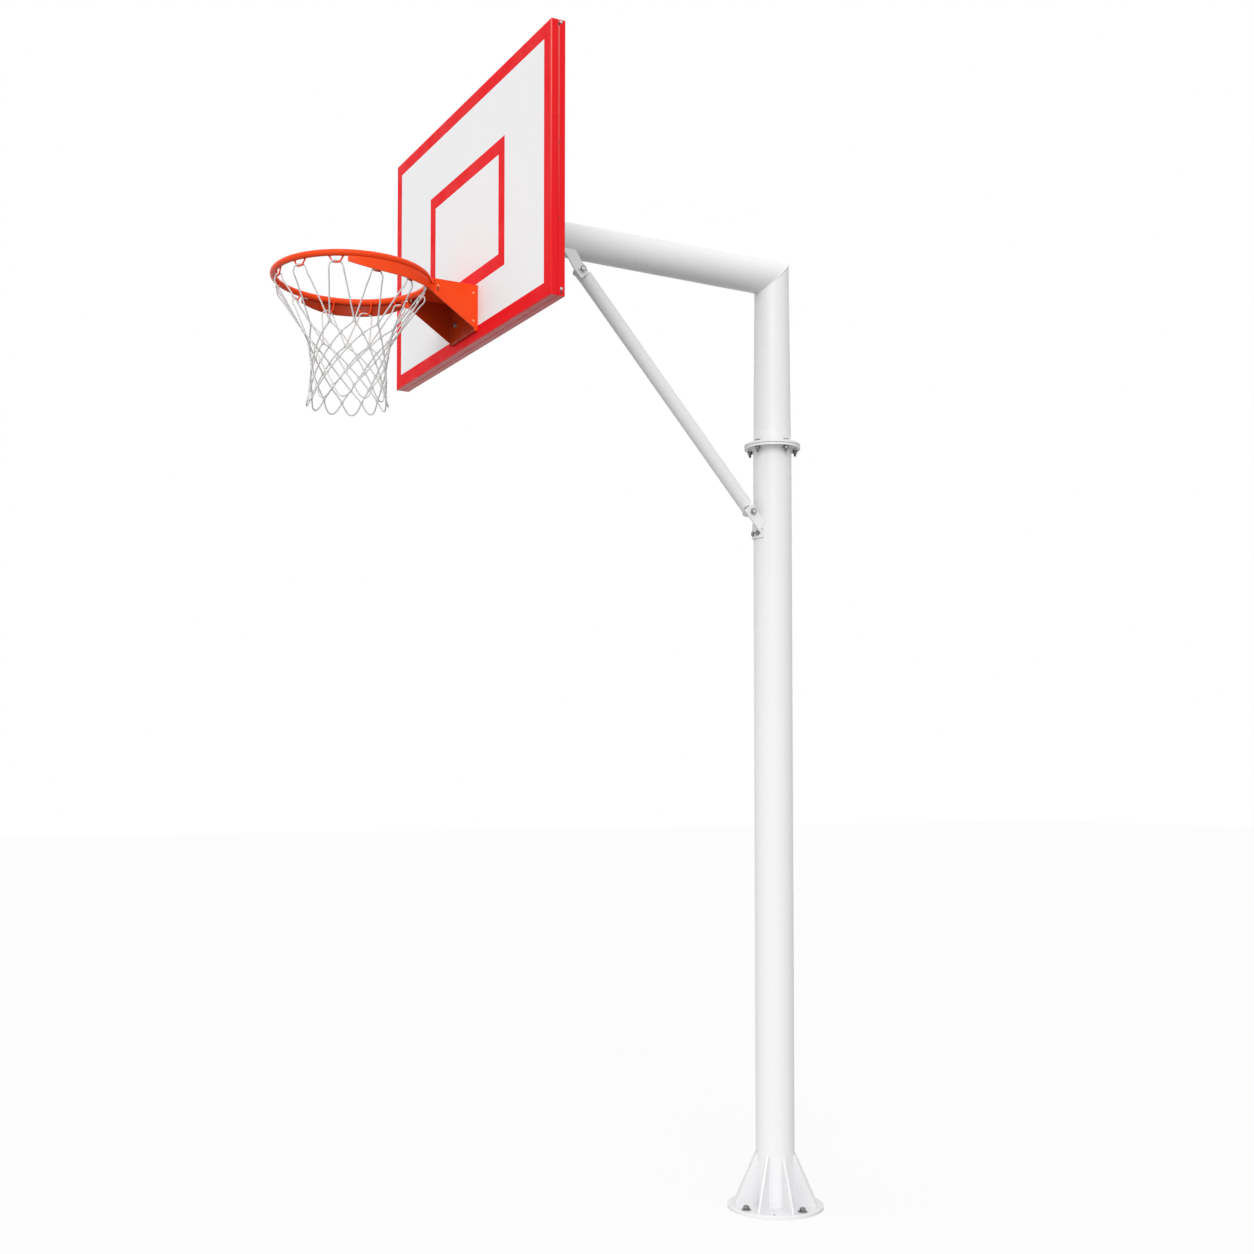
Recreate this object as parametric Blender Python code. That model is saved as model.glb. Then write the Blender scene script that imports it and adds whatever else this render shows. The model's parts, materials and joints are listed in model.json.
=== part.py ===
"""In-ground basketball goal: a flanged pole with a gooseneck arm and a stay, a framed board,
a fixed rim on an open-bottomed bracket, and a knotted net.

Metres, +Z up. The origin is the middle of the base plate's underside, on the pole's axis.
The goal faces -Y, and the board's width runs along X. Angles round the pole and the rim
are measured from -Y towards +X.
"""

import math

import bmesh
import bpy
from mathutils import Matrix, Vector

# Clearance between pieces that touch, and round a bolt in its hole.
SEAT = 0.0003
HOLE_SLACK = 0.0005

# Base plate, its gussets and its anchors.
BASE_RADIUS = 0.168
BASE_THICKNESS = 0.012
GUSSET_COUNT = 8
GUSSET_TURN = math.radians(33.75)
GUSSET_THICKNESS = 0.008
GUSSET_HEIGHT = 0.176
GUSSET_REACH = 0.152
GUSSET_TOE_HEIGHT = 0.008
GUSSET_CROWN_WIDTH = 0.005
ANCHOR_COUNT = 4
ANCHOR_TURN = math.radians(8.5)
ANCHOR_CIRCLE_RADIUS = 0.1365
ANCHOR_DIAMETER = 0.012
ANCHOR_STAND_OUT = 0.0155
ANCHOR_WASHER_DIAMETER = 0.033
ANCHOR_WASHER_THICKNESS = 0.003

# Pole, in two lengths joined at a bolted flange.
POST_DIAMETER = 0.136
POST_WALL = 0.005
FLANGE_JOINT_HEIGHT = 2.6765
FLANGE_DIAMETER = 0.198
FLANGE_THICKNESS = 0.0085
FLANGE_BOLT_COUNT = 5
FLANGE_BOLT_TURN = math.radians(18.0)
FLANGE_BOLT_CIRCLE_RADIUS = 0.0845
FLANGE_BOLT_DIAMETER = 0.010
FLANGE_STUD_TAIL = 0.010

# Gooseneck: a tapered upright and a tapered arm, mitred into an elbow.
NECK_FOOT_DIAMETER = 0.1335
NECK_ELBOW_DIAMETER = 0.1230
ARM_END_DIAMETER = 0.112
NECK_WALL = 0.0045

# The rim's top edge. The board's foot, the arm and the bracket take their heights from it.
RIM_HEIGHT = 3.048
BOARD_FOOT_DROP = 0.173
ARM_RISE = 0.411
BRACKET_FOOT_RISE = 0.028
WING_FOOT_DROP = 0.056
RIM_BOLT_RISE = 0.059

# Board: a folded face tray over a welded frame of channels and two stiles.
BOARD_WIDTH = 1.235
BOARD_HEIGHT = 0.805
BOARD_DEPTH = 0.046
BOARD_REACH = 1.187
TRAY_SKIN = 0.002
TRAY_DEPTH = 0.0225
SEAM_WIDTH = 0.0015
FRAME_FLANGE = 0.040
FRAME_WALL = 0.003
STILE_WIDTH = 0.060
STILE_SPACING = 0.120
STILE_PROUD = 0.001
LINE_WIDTH = 0.045
TARGET_WIDTH = 0.600
TARGET_HEIGHT = 0.400
TARGET_FOOT = 0.180

# Plate on the arm's end, bolted to the stiles.
END_PLATE_WIDTH = 0.170
END_PLATE_HEIGHT = 0.220
END_PLATE_THICKNESS = 0.012
END_BOLT_SPACING_X = 0.125
END_BOLT_SPACING_Z = 0.170
BOARD_BOLT_DIAMETER = 0.012
BOARD_BOLT_GRIP = 0.030

# Rim: a round bar bent to a ring, its bracket and the net's hooks.
RIM_INNER_DIAMETER = 0.4532
RIM_BAR_DIAMETER = 0.020
RIM_CENTRE_TO_BOARD = 0.381
BRACKET_WIDTH = 0.202
BRACKET_SHEET = 0.004
BRACKET_BEND_RADIUS = 0.030
BRACKET_SLOPE = 0.664
BACK_PLATE_THICKNESS = 0.008
TOP_PLATE_THICKNESS = 0.005
WING_TIP_HEIGHT = 0.019
WING_TIP_ANGLE = math.radians(68.6)
WING_TAPER_ANGLE = math.radians(100.0)
WING_SET_OUT = 0.0045
WING_CREST_RISE = 0.014
WING_CREST_ANGLES = (math.radians(118.0), math.radians(151.0))
RIM_BOLT_SPACING_X = 0.120
RIM_BOLT_SPACING_Z = 0.060
RIM_BOLT_DIAMETER = 0.010
RIM_BOLT_LENGTH = 0.030
HOOK_COUNT = 12
HOOK_BAR_DIAMETER = 0.005
HOOK_WIDTH = 0.040
HOOK_FOOT_WIDTH = 0.020
HOOK_DROP = 0.0265
HOOK_SET_IN = 0.0065

# Stay: a tube between a lug on the arm and a lug on the post, pinned at both ends.
# The lugs' bolts lie on one line, and the tube lies a little above it.
STAY_TOP_REACH = 0.779
STAY_TOP_DROP = 0.099
STAY_FOOT_SET_OUT = 0.0355
STAY_FALL = 0.7528
STAY_DIAMETER = 0.0483
STAY_WALL = 0.003
STAY_RISE = 0.0093
STAY_END_GAP = 0.027
EYE_PLUG_LENGTH = 0.030
EYE_TONGUE_THICKNESS = 0.016
EYE_TONGUE_RADIUS = 0.015
EYE_BUSH_DIAMETER = 0.025
LUG_WIDTH = 0.040
LUG_SET_DOWN = 0.004
LUG_THICKNESS = 0.006
STAY_NUT_FACE = 0.010
UPPER_LUG_LENGTH = 0.108
LOWER_LUG_LENGTH = 0.098
LUG_END_DISTANCE = 0.0225
LUG_JOGGLE = 0.010
LUG_JOGGLE_SPAN = (0.026, 0.066)
LUG_CORNER_RADIUS = 0.010
LUG_WEB_INNER_EDGE = -0.020
LUG_WEB_START = 0.024
LUG_PAD_DROP = 0.0342
LUG_PAD_HEIGHT = 0.0545
LUG_PAD_HALF_ANGLE = math.radians(28.0)
LUG_PAD_THICKNESS = 0.005
LUG_BOLT_HALF_ANGLE = math.radians(11.0)
LUG_BOLT_RISE = 0.0171
LUG_BOLT_DIAMETER = 0.010
LUG_BOLT_LENGTH = 0.022
STAY_BOLT_DIAMETER = 0.012

# Net: rows of diamonds knotted from cord, with loops over the hooks and at the foot.
CORD_DIAMETER = 0.005
NET_KNOT_ROWS = 6
NET_MESH_SIDE = 0.0525
NET_LOOP_LENGTH = 0.154
NET_NECK_RADIUS = 0.119
NET_FLARE = 0.046
NET_FLARE_FALL = 0.060
NET_TWIST = math.radians(-12.0)
NET_FOOT_LOOP = 0.043
NET_CROSSING = 0.0022
NET_KNOT_DIAMETER = 0.009
NET_CREST_WIDTH = 0.032
NET_SHOULDER_WIDTH = 0.049
NET_SHOULDER_DROP = 0.022

# Hexagon heads and nuts, in bolt diameters.
HEX_ACROSS_FLATS = 1.58
HEX_HEAD_HEIGHT = 0.62
HEX_NUT_HEIGHT = 0.85
WASHER_DIAMETER = 2.1
WASHER_THICKNESS = 0.17

# Facets.
POLE_SIDES = 48
RIM_SEGMENTS = 60
RIM_SIDES = 10
BOLT_SIDES = 12

# Places worked out from the sizes above.
POST_RADIUS = POST_DIAMETER / 2
BOARD_FOOT_HEIGHT = RIM_HEIGHT - BOARD_FOOT_DROP
ARM_HEIGHT = BOARD_FOOT_HEIGHT + ARM_RISE
BRACKET_FOOT_HEIGHT = BOARD_FOOT_HEIGHT + BRACKET_FOOT_RISE
WING_FOOT_HEIGHT = RIM_HEIGHT - WING_FOOT_DROP
RIM_BOLT_FOOT_HEIGHT = BRACKET_FOOT_HEIGHT + RIM_BOLT_RISE
BOARD_FRONT = -BOARD_REACH
BOARD_BACK = BOARD_FRONT + BOARD_DEPTH
STILE_BACK = BOARD_BACK + STILE_PROUD
END_PLATE_FRONT = STILE_BACK + SEAT
ARM_END = END_PLATE_FRONT + END_PLATE_THICKNESS + SEAT
RIM_CENTRE = Vector((0.0, BOARD_FRONT - RIM_CENTRE_TO_BOARD, RIM_HEIGHT - RIM_BAR_DIAMETER / 2))
RIM_RADIUS = (RIM_INNER_DIAMETER + RIM_BAR_DIAMETER) / 2
BACK_PLATE_FRONT = BOARD_FRONT - SEAT - BACK_PLATE_THICKNESS
HOOK_RADIUS = RIM_RADIUS - HOOK_SET_IN
HOOK_FOOT_HEIGHT = RIM_CENTRE.z - HOOK_DROP
STAY_TOP = (-STAY_TOP_REACH, ARM_HEIGHT - STAY_TOP_DROP)
STAY_FOOT = (-POST_RADIUS - STAY_FOOT_SET_OUT, STAY_TOP[1] - STAY_FALL)
LUG_INNER_FACE = STAY_DIAMETER / 2
LUG_OUTER_FACE = LUG_INNER_FACE + LUG_THICKNESS
STAY_DIRECTION = Vector((0, STAY_TOP[0] - STAY_FOOT[0], STAY_TOP[1] - STAY_FOOT[1])).normalized()
STAY_UPWARD = Vector((0, STAY_DIRECTION.z, -STAY_DIRECTION.y))


def clear_scene():
    for obj in list(bpy.data.objects):
        bpy.data.objects.remove(obj, do_unlink=True)


def make_material(name, colour, roughness, metallic=0.0):
    material = bpy.data.materials.new(name)
    material.use_nodes = True
    shader = material.node_tree.nodes["Principled BSDF"]
    shader.inputs["Base Color"].default_value = (*colour, 1.0)
    shader.inputs["Roughness"].default_value = roughness
    shader.inputs["Metallic"].default_value = metallic
    material.diffuse_color = (*colour, 1.0)
    return material


def make_materials():
    return {
        "pole_white": make_material("pole_white", (0.86, 0.86, 0.87), 0.25),
        "board_white": make_material("board_white", (0.85, 0.85, 0.87), 0.40),
        "board_red": make_material("board_red", (0.72, 0.015, 0.025), 0.35),
        "rim_orange": make_material("rim_orange", (0.84, 0.09, 0.02), 0.35),
        "zinc": make_material("zinc", (0.48, 0.49, 0.50), 0.38, 0.9),
        "cord": make_material("cord", (0.80, 0.79, 0.77), 0.85),
    }


def place(name, shape, material, matrix=None):
    """Turns a bmesh into a named object, shaded smooth between its sharp edges."""
    bmesh.ops.recalc_face_normals(shape, faces=shape.faces)
    mesh = bpy.data.meshes.new(name)
    shape.to_mesh(mesh)
    shape.free()
    if material:
        mesh.materials.append(material)
    mesh.shade_smooth()
    mesh.set_sharp_from_angle(angle=math.radians(35))
    obj = bpy.data.objects.new(name, mesh)
    obj.matrix_world = matrix or Matrix()
    bpy.context.scene.collection.objects.link(obj)
    return obj


def combine(target, shape, operation, matrix=None):
    """Cuts a shape from the target, or welds it on, with a Boolean."""
    tool = place(f"{target.name}_tool_{len(target.modifiers)}", shape, None, matrix)
    tool.hide_render = True
    tool.display_type = "WIRE"
    tool.parent = target
    tool.matrix_parent_inverse = target.matrix_world.inverted()
    modifier = target.modifiers.new(operation.lower(), "BOOLEAN")
    modifier.operation = operation
    modifier.object = tool
    return tool


def loft(loops, ring=False):
    """Skins a stack of equal loops; a ring joins its last loop to its first, otherwise both ends are closed."""
    shape = bmesh.new()
    stacked = [[shape.verts.new(point) for point in loop] for loop in loops]
    pairs = list(zip(stacked, stacked[1:] + stacked[:1]))
    for lower, upper in pairs if ring else pairs[:-1]:
        for i in range(len(lower)):
            j = (i + 1) % len(lower)
            shape.faces.new((lower[i], lower[j], upper[j], upper[i]))
    if not ring:
        shape.faces.new(stacked[0])
        shape.faces.new(stacked[-1])
    return shape


def circle(radius, height, sides=POLE_SIDES):
    return [
        (radius * math.cos(turn), radius * math.sin(turn), height)
        for turn in (2 * math.pi * i / sides for i in range(sides))
    ]


def hexagon(flats, height):
    """A hexagon with a point in the middle of each side, so that it lofts to a round loop."""
    corner = flats / math.sqrt(3)
    radii = (corner, flats / 2) * 6
    turns = [2 * math.pi * i / BOLT_SIDES for i in range(BOLT_SIDES)]
    return [(r * math.cos(turn), r * math.sin(turn), height) for r, turn in zip(radii, turns)]


def box(low, high):
    shape = bmesh.new()
    bmesh.ops.create_cube(shape, size=1.0)
    low, high = Vector(low), Vector(high)
    bmesh.ops.scale(shape, vec=high - low, verts=shape.verts)
    bmesh.ops.translate(shape, vec=(low + high) / 2, verts=shape.verts)
    return shape


def plate(outline, thickness):
    """A flat plate: its outline lies in XY, and it rises from z = 0."""
    shape = bmesh.new()
    face = shape.faces.new([shape.verts.new((x, y, 0)) for x, y in outline])
    grown = bmesh.ops.extrude_face_region(shape, geom=[face])["geom"]
    risen = [item for item in grown if isinstance(item, bmesh.types.BMVert)]
    bmesh.ops.translate(shape, verts=risen, vec=(0, 0, thickness))
    return shape


def merged(shapes):
    """Several shapes in one mesh, for a cutter with many bodies."""
    whole = bmesh.new()
    for shape in shapes:
        piece = bpy.data.meshes.new("piece")
        shape.to_mesh(piece)
        shape.free()
        whole.from_mesh(piece)
        bpy.data.meshes.remove(piece)
    return whole


def moved(shape, matrix):
    bmesh.ops.transform(shape, matrix=matrix, verts=shape.verts)
    return shape


def frame_at(origin, x_axis, y_axis, z_axis):
    """A placing matrix from an origin and three axes."""
    turned = Matrix((x_axis, y_axis, z_axis)).transposed().to_4x4()
    return Matrix.Translation(origin) @ turned


def polar(angle, radius, height=0.0):
    """A point at an angle from -Y towards +X."""
    return Vector((radius * math.sin(angle), -radius * math.cos(angle), height))


def standing_at(angle, radius, height):
    """A placing matrix whose +X points outwards at this angle."""
    return Matrix.Translation(polar(angle, radius, height)) @ Matrix.Rotation(angle - math.pi / 2, 4, "Z")


def rod(diameter, length, sides=BOLT_SIDES):
    return loft([circle(diameter / 2, 0, sides), circle(diameter / 2, length, sides)])


def hex_bolt(diameter, length, washer=True):
    """A bolt whose washer sits on z = 0: the head stands up, and the shank hangs down."""
    seat = WASHER_THICKNESS * diameter if washer else 0.0
    top = seat + HEX_HEAD_HEIGHT * diameter
    flats = HEX_ACROSS_FLATS * diameter
    chamfer = 0.12 * diameter
    loops = [circle(diameter / 2, -length, BOLT_SIDES), circle(diameter / 2, 0, BOLT_SIDES)]
    if washer:
        loops.append(circle(WASHER_DIAMETER * diameter / 2, 0, BOLT_SIDES))
        loops.append(circle(WASHER_DIAMETER * diameter / 2, seat, BOLT_SIDES))
    loops.append(hexagon(flats, seat))
    loops.append(hexagon(flats, top - chamfer))
    loops.append(circle(0.46 * flats, top, BOLT_SIDES))
    return loft(loops)


def hex_nut(diameter, washer_diameter, washer_thickness):
    """A nut on its washer, standing on z = 0, with a clear bore."""
    bore = diameter / 2 + HOLE_SLACK / 2
    flats = HEX_ACROSS_FLATS * diameter
    top = washer_thickness + HEX_NUT_HEIGHT * diameter
    chamfer = 0.12 * diameter
    return loft(
        [
            circle(bore, 0, BOLT_SIDES),
            circle(washer_diameter / 2, 0, BOLT_SIDES),
            circle(washer_diameter / 2, washer_thickness, BOLT_SIDES),
            hexagon(flats, washer_thickness),
            hexagon(flats, top - chamfer),
            circle(0.46 * flats, top, BOLT_SIDES),
            circle(bore, top, BOLT_SIDES),
        ],
        ring=True,
    )


def tube(radius, wall, low, high, sides=POLE_SIDES):
    inner = radius - wall
    return loft(
        [circle(radius, low, sides), circle(radius, high, sides), circle(inner, high, sides), circle(inner, low, sides)],
        ring=True,
    )


def arc(centre, radius, start, end, steps):
    """Points of an arc, both ends included."""
    turns = (start + (end - start) * i / steps for i in range(steps + 1))
    return [(centre[0] + radius * math.cos(turn), centre[1] + radius * math.sin(turn)) for turn in turns]


def build_base(materials):
    white = materials["pole_white"]
    chamfer = 0.0015
    place(
        "base_plate",
        loft(
            [
                circle(BASE_RADIUS, 0),
                circle(BASE_RADIUS, BASE_THICKNESS - chamfer),
                circle(BASE_RADIUS - chamfer, BASE_THICKNESS),
            ]
        ),
        white,
    )
    holes = [
        moved(rod(ANCHOR_DIAMETER + 4 * HOLE_SLACK, 3 * BASE_THICKNESS), standing_at(angle, ANCHOR_CIRCLE_RADIUS, -BASE_THICKNESS))
        for angle in anchor_angles()
    ]
    combine(bpy.data.objects["base_plate"], merged(holes), "DIFFERENCE")
    inner = POST_RADIUS + SEAT
    outline = [
        (inner, BASE_THICKNESS + SEAT),
        (GUSSET_REACH, BASE_THICKNESS + SEAT),
        (GUSSET_REACH, BASE_THICKNESS + GUSSET_TOE_HEIGHT),
        (inner + GUSSET_CROWN_WIDTH, BASE_THICKNESS + GUSSET_HEIGHT),
        (inner, BASE_THICKNESS + GUSSET_HEIGHT),
    ]
    upright = Matrix.Rotation(math.pi / 2, 4, "X")
    centred = Matrix.Translation((0, GUSSET_THICKNESS / 2, 0))
    for i in range(GUSSET_COUNT):
        angle = GUSSET_TURN + 2 * math.pi * i / GUSSET_COUNT
        matrix = Matrix.Rotation(angle - math.pi / 2, 4, "Z") @ centred @ upright
        place(f"base_gusset_{i + 1}", plate(outline, GUSSET_THICKNESS), white, matrix)


def anchor_angles():
    return [ANCHOR_TURN + 2 * math.pi * i / ANCHOR_COUNT for i in range(ANCHOR_COUNT)]


def build_anchors(materials):
    """The studs end flush with the plate's underside: the length cast in the ground isn't shown."""
    for i, angle in enumerate(anchor_angles()):
        foot = standing_at(angle, ANCHOR_CIRCLE_RADIUS, SEAT)
        length = BASE_THICKNESS + ANCHOR_STAND_OUT
        place(f"anchor_stud_{i + 1}", rod(ANCHOR_DIAMETER, length), materials["zinc"], foot)
        seat = standing_at(angle, ANCHOR_CIRCLE_RADIUS, BASE_THICKNESS + SEAT)
        nut = hex_nut(ANCHOR_DIAMETER, ANCHOR_WASHER_DIAMETER, ANCHOR_WASHER_THICKNESS)
        place(f"anchor_nut_{i + 1}", nut, materials["zinc"], seat)


def build_post(materials):
    foot = BASE_THICKNESS + SEAT
    head = FLANGE_JOINT_HEIGHT - FLANGE_THICKNESS - SEAT
    place("lower_post", tube(POST_RADIUS, POST_WALL, foot, head), materials["pole_white"])


def build_flange(materials):
    lower_top = FLANGE_JOINT_HEIGHT - SEAT / 2
    upper_foot = FLANGE_JOINT_HEIGHT + SEAT / 2
    bore_wall = FLANGE_DIAMETER / 2 - (POST_RADIUS - POST_WALL)
    angles = [FLANGE_BOLT_TURN + 2 * math.pi * i / FLANGE_BOLT_COUNT for i in range(FLANGE_BOLT_COUNT)]
    levels = {
        "lower_flange": (lower_top - FLANGE_THICKNESS, lower_top),
        "upper_flange": (upper_foot, upper_foot + FLANGE_THICKNESS),
    }
    for name, (low, high) in levels.items():
        disc = place(name, tube(FLANGE_DIAMETER / 2, bore_wall, low, high), materials["pole_white"])
        drill = FLANGE_BOLT_DIAMETER + 2 * HOLE_SLACK
        holes = [
            moved(rod(drill, 2 * FLANGE_THICKNESS), standing_at(angle, FLANGE_BOLT_CIRCLE_RADIUS, low - FLANGE_THICKNESS / 2))
            for angle in angles
        ]
        combine(disc, merged(holes), "DIFFERENCE")
    washer = WASHER_DIAMETER * FLANGE_BOLT_DIAMETER
    washer_thickness = WASHER_THICKNESS * FLANGE_BOLT_DIAMETER
    stack = 2 * FLANGE_THICKNESS + 3 * SEAT
    nut_height = washer_thickness + HEX_NUT_HEIGHT * FLANGE_BOLT_DIAMETER
    for i, angle in enumerate(angles):
        head_seat = standing_at(angle, FLANGE_BOLT_CIRCLE_RADIUS, upper_foot + FLANGE_THICKNESS + SEAT)
        bolt = hex_bolt(FLANGE_BOLT_DIAMETER, stack + nut_height + FLANGE_STUD_TAIL)
        place(f"flange_bolt_{i + 1}", bolt, materials["zinc"], head_seat)
        nut_seat = standing_at(angle, FLANGE_BOLT_CIRCLE_RADIUS, lower_top - FLANGE_THICKNESS - SEAT)
        nut = hex_nut(FLANGE_BOLT_DIAMETER, washer, washer_thickness)
        place(f"flange_nut_{i + 1}", nut, materials["zinc"], nut_seat @ Matrix.Rotation(math.pi, 4, "X"))


def mitred_loop(foot_radius, corner_radius, length, gap):
    """A cone's loop on the elbow's 45 degree plane: the cone runs from z = 0 to the corner at z = length."""
    slope = (corner_radius - foot_radius) / length
    loop = []
    for i in range(POLE_SIDES):
        turn = 2 * math.pi * i / POLE_SIDES
        lean = math.sin(turn)
        radius = (foot_radius + slope * (length - gap)) / (1 - slope * lean)
        loop.append((radius * math.cos(turn), radius * lean, length - gap + radius * lean))
    return loop


def mitred_tube(foot_diameter, corner_diameter, wall, length):
    """A tapered tube from z = 0 to a mitre at z = length, longest on its +Y side."""
    outer_foot, outer_corner = foot_diameter / 2, corner_diameter / 2
    inner_foot, inner_corner = outer_foot - wall, outer_corner - wall
    gap = SEAT / 2
    return loft(
        [
            circle(outer_foot, 0),
            mitred_loop(outer_foot, outer_corner, length, gap),
            mitred_loop(inner_foot, inner_corner, length, gap),
            circle(inner_foot, 0),
        ],
        ring=True,
    )


def arm_frame(reach):
    """Places a piece whose +Z runs along the arm towards the post, and whose +Y is up."""
    return frame_at((0, reach, ARM_HEIGHT), (-1, 0, 0), (0, 0, 1), (0, 1, 0))


def build_neck(materials):
    foot = FLANGE_JOINT_HEIGHT + SEAT / 2 + FLANGE_THICKNESS + SEAT
    upright = mitred_tube(NECK_FOOT_DIAMETER, NECK_ELBOW_DIAMETER, NECK_WALL, ARM_HEIGHT - foot)
    place("neck_upright", upright, materials["pole_white"], Matrix.Translation((0, 0, foot)))
    arm = mitred_tube(ARM_END_DIAMETER, NECK_ELBOW_DIAMETER, NECK_WALL, -ARM_END)
    place("arm_tube", arm, materials["pole_white"], arm_frame(ARM_END))


def arm_radius_at(y):
    """The arm's radius at this distance along Y."""
    share = y / ARM_END
    return (NECK_ELBOW_DIAMETER + (ARM_END_DIAMETER - NECK_ELBOW_DIAMETER) * share) / 2


def end_bolt_places():
    return [
        (x * END_BOLT_SPACING_X / 2, ARM_HEIGHT + z * END_BOLT_SPACING_Z / 2)
        for x in (-1, 1)
        for z in (-1, 1)
    ]


def drilled_along_y(places, diameter, low, high):
    """A cutter of round holes that run along Y."""
    turned = Matrix.Rotation(-math.pi / 2, 4, "X")
    return merged(
        [moved(rod(diameter, high - low), Matrix.Translation((x, low, z)) @ turned) for x, z in places]
    )


def build_end_plate(materials):
    half_width, half_height = END_PLATE_WIDTH / 2, END_PLATE_HEIGHT / 2
    back = END_PLATE_FRONT + END_PLATE_THICKNESS
    shape = box((-half_width, END_PLATE_FRONT, ARM_HEIGHT - half_height), (half_width, back, ARM_HEIGHT + half_height))
    end_plate = place("arm_end_plate", shape, materials["pole_white"])
    drill = BOARD_BOLT_DIAMETER + 2 * HOLE_SLACK
    holes = drilled_along_y(end_bolt_places(), drill, END_PLATE_FRONT - drill, back + drill)
    combine(end_plate, holes, "DIFFERENCE")
    backward = Matrix.Rotation(-math.pi / 2, 4, "X")
    for i, (x, z) in enumerate(end_bolt_places()):
        seat = Matrix.Translation((x, back + SEAT, z)) @ backward
        place(f"board_bolt_{i + 1}", hex_bolt(BOARD_BOLT_DIAMETER, BOARD_BOLT_GRIP), materials["zinc"], seat)


def rim_bolt_places():
    return [
        (x * RIM_BOLT_SPACING_X / 2, RIM_BOLT_FOOT_HEIGHT + z * RIM_BOLT_SPACING_Z)
        for x in (-1, 1)
        for z in (0, 1)
    ]


def grid_lines(width, inner_width):
    """Where the printed lines' edges cut one side of the board's face, about its middle."""
    edge, target = width / 2, inner_width / 2
    half = [target - LINE_WIDTH, target, edge - LINE_WIDTH, edge]
    return [-value for value in reversed(half)] + half


def is_printed(x, z, middle):
    """Whether this spot of the face is on the red border or on the target's outline."""
    near_edge = BOARD_WIDTH / 2 - abs(x) < LINE_WIDTH
    near_edge = near_edge or min(z, BOARD_HEIGHT - z) < LINE_WIDTH
    across, up = abs(x), abs(z - middle)
    in_target = across < TARGET_WIDTH / 2 and up < TARGET_HEIGHT / 2
    in_hole = across < TARGET_WIDTH / 2 - LINE_WIDTH and up < TARGET_HEIGHT / 2 - LINE_WIDTH
    return near_edge or (in_target and not in_hole)


def tray_shape():
    """The solid outside of the tray, its face cut along the printed lines."""
    middle = TARGET_FOOT + TARGET_HEIGHT / 2
    columns = grid_lines(BOARD_WIDTH, TARGET_WIDTH)
    rows = [0, LINE_WIDTH]
    rows += [TARGET_FOOT, TARGET_FOOT + LINE_WIDTH]
    rows += [TARGET_FOOT + TARGET_HEIGHT - LINE_WIDTH, TARGET_FOOT + TARGET_HEIGHT]
    rows += [BOARD_HEIGHT - LINE_WIDTH, BOARD_HEIGHT]
    shape = bmesh.new()
    points = [
        [shape.verts.new((x, BOARD_FRONT, BOARD_FOOT_HEIGHT + z)) for z in rows]
        for x in columns
    ]
    for i in range(len(columns) - 1):
        for j in range(len(rows) - 1):
            face = shape.faces.new((points[i][j], points[i + 1][j], points[i + 1][j + 1], points[i][j + 1]))
            x = (columns[i] + columns[i + 1]) / 2
            z = (rows[j] + rows[j + 1]) / 2
            face.material_index = 0 if is_printed(x, z, middle) else 1
    grown = bmesh.ops.extrude_face_region(shape, geom=list(shape.faces))["geom"]
    back = [item for item in grown if isinstance(item, bmesh.types.BMVert)]
    bmesh.ops.translate(shape, verts=back, vec=(0, TRAY_DEPTH, 0))
    for face in shape.faces:
        if face.calc_center_median().y > BOARD_FRONT + SEAT:
            face.material_index = 0
    return shape


def build_board_panel(materials):
    panel = place("board_panel", tray_shape(), materials["board_red"])
    panel.data.materials.append(materials["board_white"])
    half = BOARD_WIDTH / 2 - TRAY_SKIN
    low = (-half, BOARD_FRONT + TRAY_SKIN, BOARD_FOOT_HEIGHT + TRAY_SKIN)
    high = (half, BOARD_FRONT + 2 * TRAY_DEPTH, BOARD_FOOT_HEIGHT + BOARD_HEIGHT - TRAY_SKIN)
    combine(panel, box(low, high), "DIFFERENCE")
    drill = RIM_BOLT_DIAMETER + 2 * HOLE_SLACK
    holes = drilled_along_y(rim_bolt_places(), drill, BOARD_FRONT - drill, BOARD_FRONT + drill)
    combine(panel, holes, "DIFFERENCE")


def rectangle(half_width, low, high, y):
    return [(-half_width, y, low), (half_width, y, low), (half_width, y, high), (-half_width, y, high)]


def frame_section():
    """The frame's channel section, as (inset from the board's edge, y) pairs round its outline."""
    front = BOARD_FRONT + TRAY_SKIN + SEAT
    step = BOARD_FRONT + TRAY_DEPTH + SEAM_WIDTH
    outer = TRAY_SKIN + SEAT
    return [
        (outer, front),
        (outer, step),
        (0, step),
        (0, BOARD_BACK),
        (FRAME_FLANGE, BOARD_BACK),
        (FRAME_FLANGE, BOARD_BACK - FRAME_WALL),
        (outer + FRAME_WALL, BOARD_BACK - FRAME_WALL),
        (outer + FRAME_WALL, front + FRAME_WALL),
        (FRAME_FLANGE, front + FRAME_WALL),
        (FRAME_FLANGE, front),
    ]


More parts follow.
